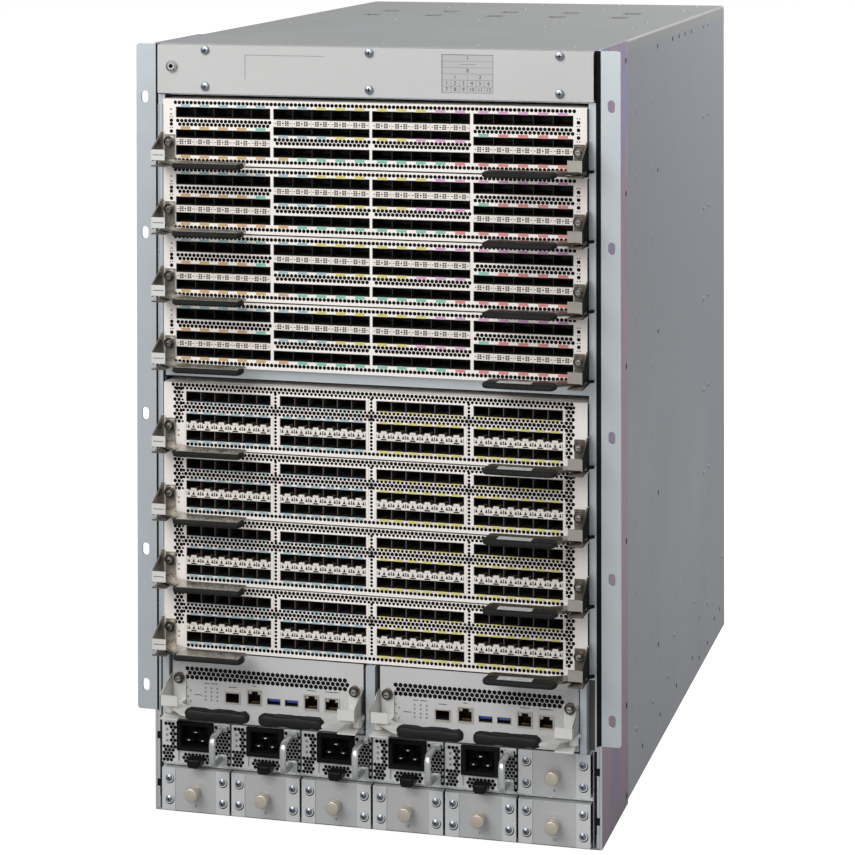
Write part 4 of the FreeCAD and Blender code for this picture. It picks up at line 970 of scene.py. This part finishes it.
def dress_header():
    """Screws over the CAD heads, the ground jack's ring, and the bay map with its numbers."""
    head, cross = cross_screw(4.3, 2.9)
    places = [(x, reach(header_reach), z) for x in (-167.5, -1.6, 184.7) for z in (711.5, 747.0)]
    add("header_screw_heads", [stamped(head, places), stamped(cross, places)], [screw_blue, hole_dark],
        "chassis",
        which=[0, 1], smooth=True)
    jack_x, jack_y, jack_z = -202.0, reach(header_reach + 3.0), 731.0
    ring = turned([(5.7, -3.0), (5.7, -0.4), (5.2, 0.2), (3.6, 0.3), (2.6, -0.6)], 28)
    jack = [placed(ring, jack_x, jack_y, jack_z), placed(disc(2.7, 0.0, 20), jack_x, jack_y + 0.2, jack_z)]
    add("ground_jack_ring", jack, [steel, hole_dark], "chassis", which=[0, 1], smooth=True)
    floor_y = reach(header_reach - 0.8)
    x0, x1, z0, z1 = 69.7, 120.7, 710.0, 747.0
    add("bay_map_plate", block(x0 + 0.4, x1 - 0.4, floor_y - 0.15, floor_y, z0 + 0.4, z1 - 0.4), map_paper,
        "chassis")
    left, right = x0 + 1.0, x1 - 1.0
    rises = z0 + 0.6 + (z1 - z0 - 1.2) / 6.0 * np.arange(7)
    columns = np.linspace(left, right, 7)
    y0, y1 = floor_y - 0.22, floor_y - 0.1
    half_line = 0.25
    lines = [(left, right, y0, y1, z - half_line, z + half_line) for z in rises]
    for k, x in enumerate(columns):
        top = rises[2] if k not in (0, 3, 6) else (rises[3] if k == 3 else rises[6])
        lines.append((x - half_line, x + half_line, y0, y1, rises[0], top))
    middle = (left + right) / 2.0
    lines.append((middle - 8.0, middle + 8.0, y0, y1, rises[4] + 2.6, rises[4] + 3.4))
    add("bay_map_lines", plates(lines), grey_print, "chassis")
    centres = (rises[1:] + rises[:-1]) / 2.0
    cells = [(str(k + 7), columns[k:k + 2].mean(), centres[0]) for k in range(6)]
    cells += [(str(k + 1), columns[k:k + 2].mean(), centres[1]) for k in range(6)]
    cells += [("1", (left + middle) / 2.0, centres[2]), ("2", (right + middle) / 2.0, centres[2])]
    cells += [("8", middle, centres[3]), ("1", middle, centres[5])]
    for k, (text, x, z) in enumerate(cells):
        numerals("bay_number_%d" % k, text, 5.0, x, floor_y - 0.2, z, print_dark, "chassis")
    paint("header_panel", header_paint)
    paint("header_screws", screw_blue)


# ---- Management modules ----------------------------------------------------------------------------
def socket_shield(x, low, width, height, bottom, rim=1.3, out=0.9):
    """The bright shield round a socket: four bars that stand a little proud of the face."""
    z0, z1 = bottom + low, bottom + low + height
    return window_frame(x - width / 2, x + width / 2, reach(face_reach + out), reach(face_reach - 3.0),
                        z0, z1, rim)


# The fibre socket and the jacks: x from the module's middle, rise, width, height and depth
module_sockets = ((-35.2, 19.8, 13.4, 9.0, 40.0), (-12.9, 20.0, 12.6, 12.6, 20.0),
                  (44.8, 20.0, 12.6, 12.6, 20.0), (65.6, 20.0, 12.6, 11.0, 20.0))
usb_centres = (6.8, 24.8)
usb_half = 6.5
usb_rise = 21.0
usb_high = 5.6
usb_contacts = (-3.4, -1.1, 1.1, 3.4)
# The dashes of print: x from the module's middle, rise and width
module_dashes = ((-62.0, 36.4, 5.0), (-54.0, 36.4, 7.0), (-35.2, 34.6, 8.0), (-12.9, 37.4, 4.0),
                 (44.8, 37.4, 9.0), (65.6, 37.4, 14.0), (-70.0, 24.6, 8.0))


def module_socket_parts(centre, bottom):
    """The sockets' shields with the steps of the jacks, their liners dark as painted shade, and the jacks'
    contacts.
    """
    face = reach(face_reach)
    shields = []
    liners = []
    gold = []
    for x, low, width, height, depth in module_sockets:
        left, right = centre + x - width / 2, centre + x + width / 2
        z0, z1 = bottom + low, bottom + low + height
        shields.append(socket_shield(centre + x, low, width, height, bottom))
        liners.append(socket_liner(left, right, reach(face_reach - 1.0), reach(face_reach - depth), z0, z1))
    for x, low, width, height, depth in module_sockets[1:]:
        left, right = centre + x - width / 2, centre + x + width / 2
        z0, z1 = bottom + low, bottom + low + height
        step = width * 0.24
        y0, y1 = face + 0.5, face + 12.0
        shields.append(plates([(left, left + step, y0, y1, z1 - 3.2, z1),
                               (right - step, right, y0, y1, z1 - 3.2, z1)]))
        xs = centre + x + (np.arange(8) - 3.5) * 1.02
        gold.append(plates([(v - 0.22, v + 0.22, face + 4.0, face + 15.0, z0 + 0.6, z0 + 1.4) for v in xs]))
    return shields, liners, gold


def usb_parts(centre, bottom):
    """The USB sockets' rims, their liners with no roof, their blue tongues and contacts."""
    face = reach(face_reach)
    rims = []
    liners = []
    tongues = []
    gold = []
    for x in usb_centres:
        left, right = centre + x - usb_half, centre + x + usb_half
        z0, z1 = bottom + usb_rise, bottom + usb_rise + usb_high
        rims.append(socket_shield(centre + x, usb_rise, 2 * usb_half, usb_high, bottom, rim=0.5, out=0.5))
        liners.append(socket_liner(left, right, face + 1, face + 16, z0, z1, end=0.2, roof=False))
        tongues.append(block(left + 1.0, right - 1.0, face + 1.6, face + 15.0, z1 - 2.9, z1 - 0.7))
        gold.append(plates([(centre + x + v - 0.5, centre + x + v + 0.5, face + 2.2, face + 12.0,
                             z1 - 3.05, z1 - 2.85) for v in usb_contacts]))
    return rims, liners, tongues, gold


def dress_module(number, centre):
    """Vents, sockets, lamps and prints of one management module."""
    name = "management_module_%d" % number
    bottom = limits(name)[0][2]
    face = reach(face_reach)
    vents = [grid(centre + row(-81.6, 79.0, 4.85, 0.5 * (k % 2)), [bottom + rise])
             for k, rise in enumerate((49.7, 45.6, 41.5))]
    vent = disc(2.35, 0.05, 6)
    add(name + "_vents", stamped(vent, at_y(np.concatenate(vents), face)), hole_dark, name)
    shields, liners, gold = module_socket_parts(centre, bottom)
    rims, usb_liners, tongues, usb_gold = usb_parts(centre, bottom)
    groups = (shields, liners + usb_liners, gold + usb_gold, tongues, rims)
    add(name + "_sockets", [joined(group) for group in groups],
        [shield_metal, inside_shade, contact_gold, usb_blue], name, which=[0, 1, 2, 3, 0])
    lamp = turned([(1.15, 0.0), (1.05, 0.25), (0.55, 0.45)], 10)
    lamps = grid(centre + np.array([-63.0, -57.0, -51.0]), bottom + np.array([32.0, 28.2, 24.0, 20.4]))
    extra = np.array([(centre - 81.5, bottom + 31.0), (centre - 78.5, bottom + 28.2),
                      (centre - 81.0, bottom + 22.5), (centre - 78.5, bottom + 18.0)])
    add(name + "_lamps", stamped(lamp, at_y(np.concatenate([lamps, extra]), face)), lamp_dim, name,
        smooth=True)
    prints = [block(centre + x - width / 2, centre + x + width / 2, face - 0.06, face,
                    bottom + rise - 0.35, bottom + rise + 0.35) for x, rise, width in module_dashes]
    add(name + "_prints", prints, print_dark, name)
    front, behind = reach(bracket_reach), reach(face_reach + 1.2)
    cheek, far = module_half + 0.1, 103.0
    paint(name, module_paint, (
        (tag_metal,) + slab(front, behind, low_z=bottom + 8.0, low_x=centre + 76.0, high_x=centre + far),
        (tag_metal,) + slab(front, behind, low_z=bottom + 8.0, low_x=centre - far, high_x=centre - 76.0),
        (nickel,) + slab(front, reach(0), low_x=centre + cheek, high_x=centre + far),
        (nickel,) + slab(front, reach(0), low_x=centre - far, high_x=centre - cheek),
        (usb_blue,) + slab(reach(5.5), reach(-12.0), bottom + 24.0, bottom + 26.7, centre + 0.6,
                           centre + 31.0)))


# ---- Power supplies and fillers ----------------------------------------------------------------------
def handle_path(x, low, high, out, bend):
    """A strap handle's line: out from the face, a quarter-circle bend, up, a bend, and back."""
    turn = np.linspace(0.0, math.pi / 2.0, 7)
    face = reach(face_reach)
    crown = face - out + bend
    line = np.full(7, x)
    lower = np.stack([line, crown - bend * np.sin(turn), low + bend - bend * np.cos(turn)], axis=-1)
    upper = np.stack([line, crown - bend * np.cos(turn), high - bend + bend * np.sin(turn)], axis=-1)
    ends = np.array([[x, face, low], [x, face, high]])
    return np.concatenate([ends[:1], lower, upper, ends[1:]])


def supply_vents(centre, bottom, face):
    """The vent holes of a supply: rows half a pitch apart in turn, left out where another piece sits."""
    rows = [grid(row(-32.6, 33.0, 3.7, 0.5 * (k % 2)), [2.4 + k * 3.2]) for k in range(12)]
    places = np.concatenate(rows)
    x, rise = places.T
    block_free = (np.abs(x) > 19.9) | (rise < 11.6)
    lamp_free = ~((x < -26.0) & (rise > 17.0) & (rise < 35.0))
    leg_free = ~((x > -23.0) & (x < -13.5) & (rise < 12.0)) & ~((x > 15.0) & (x < 23.0) & (rise < 12.0))
    handle_free = ~((x > 22.0) & (x < 31.5) & ((rise > 34.5) | (rise < 11.5)))
    latch_free = ~((np.abs(x - 2.0) < 6.5) & (rise < 8.5))
    keep = places[block_free & lamp_free & leg_free & handle_free & latch_free]
    return stamped(disc(1.95, 0.05, 6), at_y(keep + np.array([centre, bottom]), face))


def inlet_collar(centre, middle):
    """The four bars round a supply's inlet, with the lowest a little deeper than the highest."""
    wide, open_wide, open_high, above, below = 18.7, 14.4, 10.4, 13.8, 14.3
    y0, y1 = reach(face_reach + 3.6), reach(face_reach - 0.5)
    return plates([(centre - wide, centre + wide, y0, y1, middle + open_high, middle + above),
                   (centre - wide, centre + wide, y0, y1, middle - below, middle - open_high),
                   (centre - wide, centre - open_wide, y0, y1, middle - open_high, middle + open_high),
                   (centre + open_wide, centre + wide, y0, y1, middle - open_high, middle + open_high)])


def dress_supply(number):
    """Vents, inlet block, handle, latch and lamps of one power supply."""
    name = "power_supply_%d" % number
    low, high = limits(name)
    centre = (low[0] + high[0]) / 2.0
    bottom = low[2]
    face = reach(face_reach)
    add(name + "_vents", supply_vents(centre, bottom, face), hole_dark, name)
    inlet_z = bottom + 41.6 - 14.0
    add(name + "_inlet", inlet_collar(centre, inlet_z), black_and_shadow, name, bevel=0.5)
    y0, y1 = reach(face_reach + 0.6), reach(face_reach - 14.5)
    pins = [block(centre + x - half, centre + x + half, y0, y1, inlet_z + z - 0.35, inlet_z + z + 0.35)
            for x, z, half in ((0.0, 3.6, 1.2), (-7.0, -4.4, 1.0), (7.0, -4.4, 1.0))]
    add(name + "_pins", pins, print_white, name)
    line = handle_path(centre + 27.5, bottom + 9.1, bottom + 37.4, 30.2, 7.0)
    strap = carried(line, oval(3.1, 1.9, 12, 1.4)[:, ::-1], (1, 0, 0))
    feet = [block(centre + 22.6, centre + 32.4, face - 0.7, face, bottom + foot, bottom + foot_top)
            for foot, foot_top in ((34.2, 40.9), (1.2, 12.0))]
    add(name + "_handle", [strap] + feet, zinc_bright, name, smooth=True)
    outline = np.array([(-6.0, 0.0), (-4.6, -1.0), (4.6, -1.0), (6.0, 0.0), (7.4, 6.4), (-7.4, 6.4)])
    path = np.array([(centre + 2.0, reach(face_reach + out), bottom + rise)
                     for out, rise in ((-0.2, 1.8), (8.0, 1.8), (14.4, 1.4))])
    section = np.stack([outline * np.array(size) for size in ((-1.0, 1.0), (-1.0, 1.0), (-0.86, 0.9))])
    add(name + "_latch", carried(path, section, (0, 0, 1)), black_and_shadow, name, bevel=0.5)
    lamp = turned([(1.5, 0.0), (1.45, 0.3), (0.8, 0.5)], 12)
    ring = [(centre - 29.6, face, bottom + rise) for rise in (32.0, 26.6, 21.2)]
    add(name + "_lamps", stamped(lamp, ring), lamp_dim, name, smooth=True)
    bars = [block(centre + x - 0.4, centre + x + 0.4, face - 2.4, face, bottom + 3.0, bottom + 12.4)
            for x in (-17.6, 16.6)]
    add(name + "_inlet_legs", bars, filler_edge, name)
    proud = reach(face_reach + 0.1)
    paint(name, filler_edge, (
        (black_and_shadow,) + slab(reach(face_reach + 3.1), reach(-12.0), low_z=bottom + 13.4,
                            low_x=centre - 18.5, high_x=centre + 18.5),
        (black_plastic,) + slab(reach(face_reach + 15.0), proud, high_z=bottom + 8.0,
                                low_x=centre - 6.0, high_x=centre + 10.0),
        (zinc_bright,) + slab(reach(bracket_reach), proud, low_x=centre + 24.0, high_x=centre + 31.0)))


def dress_filler(number):
    """Rivets, knob and finish of one bay filler."""
    name = "bay_filler_%d" % number
    low, high = limits(name)
    centre, bottom = (low[0] + high[0]) / 2.0, low[2]
    strip = reach(face_reach + 0.8)
    rivet = turned([(3.4, 0.0), (3.3, 0.55), (2.9, 0.75), (2.4, 1.3), (1.2, 1.75)], 20)
    cross = joined([block(-1.5, 1.5, -1.8, -1.5, -0.3, 0.3), block(-0.3, 0.3, -1.8, -1.5, -1.5, 1.5)])
    places = [(centre + x, strip, bottom + 20.8 + z) for x in (-27.4, 27.4) for z in (10.6, -9.8)]
    # A dark disc set a little down and to the right behind the rivet's ring leaves a crescent of painted
    # shadow.
    shadow_crescent = stamped(placed(disc(4.9, 0.05, 24), 0.5, 0.0, -0.6), places)
    add(name + "_rivets", [stamped(rivet, places), stamped(cross, places), shadow_crescent,
                           stamped(disc(4.6, 0.1, 24), places)],
        [screw_blue, hole_dark, filler_edge], name, which=[0, 1, 1, 2], smooth=True)
    knob = turned([(4.4, 0.0), (4.4, 5.6), (6.3, 6.0), (6.55, 6.5), (6.55, 15.0), (6.2, 15.5), (5.6, 15.7)],
                  32)
    add(name + "_knob", placed(knob, centre, reach(face_reach), bottom + 20.8), [brass_knob], name,
        smooth=True)
    numerals(name + "_number", str(number + 5), 4.6, centre, reach(face_reach), bottom + 5.2, print_dark,
             name)
    skin = reach(face_reach + 1.0), reach(face_reach - 0.1)
    paint(name, filler_metal, (
        (filler_edge,) + slab(*skin, low_x=centre + filler_half - filler_strip),
        (filler_edge,) + slab(*skin, high_x=centre - filler_half + filler_strip)))


# ---- Shell and flanges ---------------------------------------------------------------------------
def side_fasteners(side):
    """Dimples, rivets and plug holes of one side panel, placed by (distance behind the flanges, height)."""
    way = "right" if side > 0 else "left"
    x = side * chassis_half
    leg_x = side * (chassis_half + 2.0)
    dimple = facing(turned([(4.6, 0.02), (4.0, 0.30), (2.6, 0.34), (1.4, 0.10)], 16), way)
    hole = facing(disc(2.6, 0.06, 12), way)
    rivet = facing(turned([(2.6, 0.0), (2.3, 0.6), (1.3, 0.95)], 14), way)
    dimples = [(d, z) for d in (190, 283) for z in (680, 610, 539, 469, 405, 334, 264, 194)]
    dimples += [(d, 128) for d in (188, 281, 433, 491)] + [(d, 87) for d in (167, 331, 497, 683)]
    holes = [(317, z) for z in (735, 605, 435, 265, 105)] + [(d, 737) for d in (410, 452, 493, 535)]
    holes += [(d, 28) for d in (223, 327, 430, 537, 700, 743)] + [(d, 14) for d in (587, 647)]
    rivets = [(d, z) for d in (623, 657) for z in (738, 633, 526, 421, 315, 219)]
    rivets += [(d, 55) for d in (190, 283, 373)] + [(d, 61) for d in (587, 647)]
    rivets += [(d, 87) for d in (760, 553, 417)]
    groups = []
    for shape, spots in ((dimple, dimples), (hole, holes), (rivet, rivets)):
        groups.append(stamped(shape, [(x, flange_y + d, z) for d, z in spots]))
    name = "side_marks_" + way
    add(name, groups, [panel_metal, hole_dark], "chassis", which=[0, 1, 0], smooth=True)
    legs = stamped(facing(disc(3.0, 0.06, 14), way),
                   [(leg_x, flange_y + 125.0, z) for z in (734, 603, 433, 261, 99, 10)])
    add("leg_holes_" + way, legs, hole_dark, "chassis")


def side_bar(side, near, far, y0, y1, z0, z1):
    """The corners of a bar beside one post; near and far are how far its edges are from the middle."""
    return sorted((side * near, side * far)) + [y0, y1, z0, z1]


# The black strips of painted shadow beside the posts, the painted shadow by the left card guides and the
# painted glint on the left post: x of their edges, and the heights where shelf, cards and header meet them
shadow_seam_inner = 217.0
shadow_seam_outer = {"right": 222.6, "left": 221.1}
guide_shadow = (-213.6, -211.2)
post_glint = (-218.6, -216.7)
shelf_high = 98.0
card_foot = 240.0
header_high = 60.0
catch_rise = 23.5


def dress_shell():
    """Finishes of the sheet metal, the fasteners on its sides and top, the black strips of painted shadow
    beside the posts, and the card cage's low front wall darkened as painted shade.
    """
    for node in ("side_panel_left", "side_panel_right", "base_pan"):
        paint(node, panel_metal)
    paint("top_cover", cover_metal)
    for side, word in ((1, "right"), (-1, "left")):
        low, high = sorted((side * (chassis_half - 0.5), side * (chassis_half + 2.1)))
        leg = slab(flange_y + 0.2, everywhere, low_x=low, high_x=high)
        paint("rack_flange_" + word, zinc, ((leg_zinc,) + leg,))
        side_fasteners(side)
        foot, top = limits("rack_flange_" + word)[0][2] + shelf_high, limits("rack_flange_" + word)[1][2]
        # A black strip over each post's inner edge stands for the shadow gap there: painted shadow.
        shadow_seam = side_bar(side, shadow_seam_inner, shadow_seam_outer[word], reach(0.06), reach(0), foot, top - 1.0)
        painted_strips = [plates([shadow_seam])]
        if side < 0:
            # On the left, a painted shadow by the card guides and a painted glint on the post.
            painted_strips.append(plates([[*guide_shadow, reach(1.06), reach(1.0), card_foot, top - header_high]]))
            painted_strips.append(plates([[*post_glint, reach(1.1), reach(0.0), foot, top - header_high]]))
        add("post_painted_light_" + word, painted_strips, [black_and_shadow, zinc_bright], "chassis",
            which=[0] if side > 0 else [0, 0, 1])
        edge = side_bar(side, 218.1, 220.4, reach(0.1), reach(-0.6), 2.0, foot - 1.0)
        catches = [limits(filler)[0][2] + catch_rise for filler in ("bay_filler_2", "bay_filler_1")]
        pads = [side_bar(side, 216.6, 221.0, reach(0.2), reach(0.0), z - 3.6, z + 3.6) for z in catches]
        strips = [plates([edge]), plates(pads)]
        add("shelf_edge_" + word, strips, [filler_metal, black_and_shadow], "chassis", which=[0, 1])
    rivet = facing(turned([(2.6, 0.0), (2.3, 0.5), (1.3, 0.8)], 14), "up")
    spots = [(x, flange_y + d, chassis_top)
             for x in (-190, -95, 0, 95, 190) for d in (30, 330, 420, 660, 755)]
    add("cover_rivets", stamped(rivet, spots), cover_metal, "chassis", smooth=True)
    low_wall = slab(reach(-0.9), reach(-1.1), high_z=limits("line_card_8")[0][2] + 5.0)
    paint("card_cage", zinc, ((wall_shade,) + low_wall,))
    paint("power_shelf", zinc_bright)
    paint("midplane", board_green)
    paint("fabric_modules", board_green)


# ---- Rear fan trays ------------------------------------------------------------------------------
def circle_path(radius, count=72):
    """Points of a circle that faces the back, centred on the origin."""
    turn = 2.0 * math.pi * np.arange(count) / count
    return np.stack([radius * np.cos(turn), 0.0 * turn, radius * np.sin(turn)], axis=-1)


def dress_fan_tray(word):
    """Wire guards, captive screws and rotor finishes of one fan tray."""
    name = "fan_tray_" + word
    low, high = limits(name)
    middle = (low[0] + high[0]) / 2.0
    outside = chassis_back + 1.6
    wires = []
    for number in (1, 2):
        rotor = "fan_rotor_%s_%d" % (word, number)
        r_low, r_high = limits(rotor)
        height = (r_low[2] + r_high[2]) / 2.0
        wire = oval(1.1, 1.1, 8)
        for radius in (20.0, 36.0, 52.0, 68.0, 84.0, 98.0):
            wires.append(placed(carried(circle_path(radius), wire, (0, 1, 0), closed=True), middle, outside,
                                height))
        for k in range(4):
            angle = math.radians(45.0 + 90.0 * k)
            along = np.linspace(20.0, 106.0, 3)[:, None] * np.array([math.cos(angle), 0.0, math.sin(angle)])
            wires.append(placed(carried(along, wire, (0, 1, 0)), middle, outside + 1.6, height))
        wires.append(placed(facing(turned([(20.5, 0.0), (20.5, 0.8), (20.0, 1.0)], 32), "back"), middle,
                            outside, height))
        paint(rotor, fan_plastic)
    add(name + "_guards", wires, steel, name, smooth=True)
    head, slot = thumb_screw(5.0, 9.0)
    inset = 9.0
    places = [(x, chassis_back, z)
              for x in (low[0] + inset, high[0] - inset) for z in (low[2] + inset, high[2] - inset)]
    screws = [stamped(facing(part, "back"), places) for part in (head, slot)]
    add(name + "_screws", screws, [steel, hole_dark], name, which=[0, 1], smooth=True)
    handle_z = (low[2] + high[2]) / 2.0
    handle = slab(chassis_back + 0.2, everywhere, low_z=handle_z - 40, high_z=handle_z + 40)
    paint(name, panel_metal, ((black_plastic,) + handle,))


# ---- Stage ---------------------------------------------------------------------------------------
def make_floor():
    """A wide pale floor that shows white to the camera and keeps a soft shadow."""
    size = 12.0
    mesh = bpy.data.meshes.new("floor")
    mesh.from_pydata([(-size, -size, -0.0004), (size, -size, -0.0004), (size, size, -0.0004),
                      (-size, size, -0.0004)],
                     [], [(0, 1, 2, 3)])
    material = bpy.data.materials.new("floor_white")
    material.use_nodes = True
    tree = material.node_tree
    shader = tree.nodes["Principled BSDF"]
    shader.inputs["Base Color"].default_value = (0.30, 0.30, 0.30, 1)
    shader.inputs["Roughness"].default_value = 0.9
    shader.inputs["Emission Color"].default_value = (1, 1, 1, 1)
    rays = tree.nodes.new("ShaderNodeLightPath")
    strength = tree.nodes.new("ShaderNodeMath")
    strength.operation = "MULTIPLY"
    strength.inputs[1].default_value = 0.95
    tree.links.new(rays.outputs["Is Camera Ray"], strength.inputs[0])
    tree.links.new(strength.outputs["Value"], shader.inputs["Emission Strength"])
    mesh.materials.append(material)
    floor = bpy.data.objects.new("floor", mesh)
    bpy.context.scene.collection.objects.link(floor)


def make_world():
    """A white surround for the camera, and a plain pale light for everything else."""
    world = bpy.data.worlds.new("studio")
    world.use_nodes = True
    tree = world.node_tree
    tree.nodes.clear()
    rays = tree.nodes.new("ShaderNodeLightPath")
    seen = tree.nodes.new("ShaderNodeBackground")
    seen.inputs["Color"].default_value = (1, 1, 1, 1)
    seen.inputs["Strength"].default_value = 1.0
    lit = tree.nodes.new("ShaderNodeBackground")
    lit.inputs["Color"].default_value = (0.96, 0.98, 1, 1)
    lit.inputs["Strength"].default_value = 0.46
    choose = tree.nodes.new("ShaderNodeMixShader")
    out = tree.nodes.new("ShaderNodeOutputWorld")
    tree.links.new(rays.outputs["Is Camera Ray"], choose.inputs["Fac"])
    tree.links.new(lit.outputs["Background"], choose.inputs[1])
    tree.links.new(seen.outputs["Background"], choose.inputs[2])
    tree.links.new(choose.outputs["Shader"], out.inputs["Surface"])
    bpy.context.scene.world = world


def add_lamp(name, place, target, size, power, colour=(1, 1, 1)):
    """A square area lamp that looks at a point."""
    lamp = bpy.data.lights.new(name, "AREA")
    lamp.shape = "SQUARE"
    lamp.size = size
    lamp.energy = power
    lamp.color = colour
    holder = bpy.data.objects.new(name, lamp)
    bpy.context.scene.collection.objects.link(holder)
    aim = np.array(target) - np.array(place)
    holder.location = place
    holder.rotation_mode = "QUATERNION"
    holder.rotation_quaternion = Vector(aim).to_track_quat("-Z", "Y")


def make_camera():
    """The view from in front, a little to the right, with upright lines kept upright by the lens shift."""
    lens = bpy.data.cameras.new("camera")
    lens.sensor_width = 36.0
    lens.lens = 114.377
    lens.shift_y = -0.64503
    lens.clip_end = 60.0
    camera = bpy.data.objects.new("camera", lens)
    bpy.context.scene.collection.objects.link(camera)
    yaw, pitch, roll = 0.25822, 0.00689, 0.00166
    camera.location = (0.71613, -2.89421, 0.93403)
    camera.rotation_mode = "XYZ"
    camera.rotation_euler = (math.pi / 2.0 - pitch, roll, yaw)
    bpy.context.scene.camera = camera


for card_name in card_names:
    dress_card(card_name)
dress_all_levers()
dress_header()
for module_number, module_centre in module_centres.items():
    dress_module(module_number, module_centre)
for supply_number in range(1, 6):
    dress_supply(supply_number)
for filler_number in range(1, 8):
    dress_filler(filler_number)
dress_shell()
dress_fan_tray("left")
dress_fan_tray("right")
make_floor()
make_world()
add_lamp("key", (-0.7, -2.3, 1.9), (0.0, -0.4, 0.55), 1.7, 50.0)
add_lamp("front", (0.4, -4.2, 1.2), (0.0, -0.3, 0.4), 2.0, 16.0)
add_lamp("right", (1.3, 0.9, 1.7), (0.2, 0.1, 0.6), 1.0, 34.0)
make_camera()
bpy.context.scene.view_settings.view_transform = "Standard"
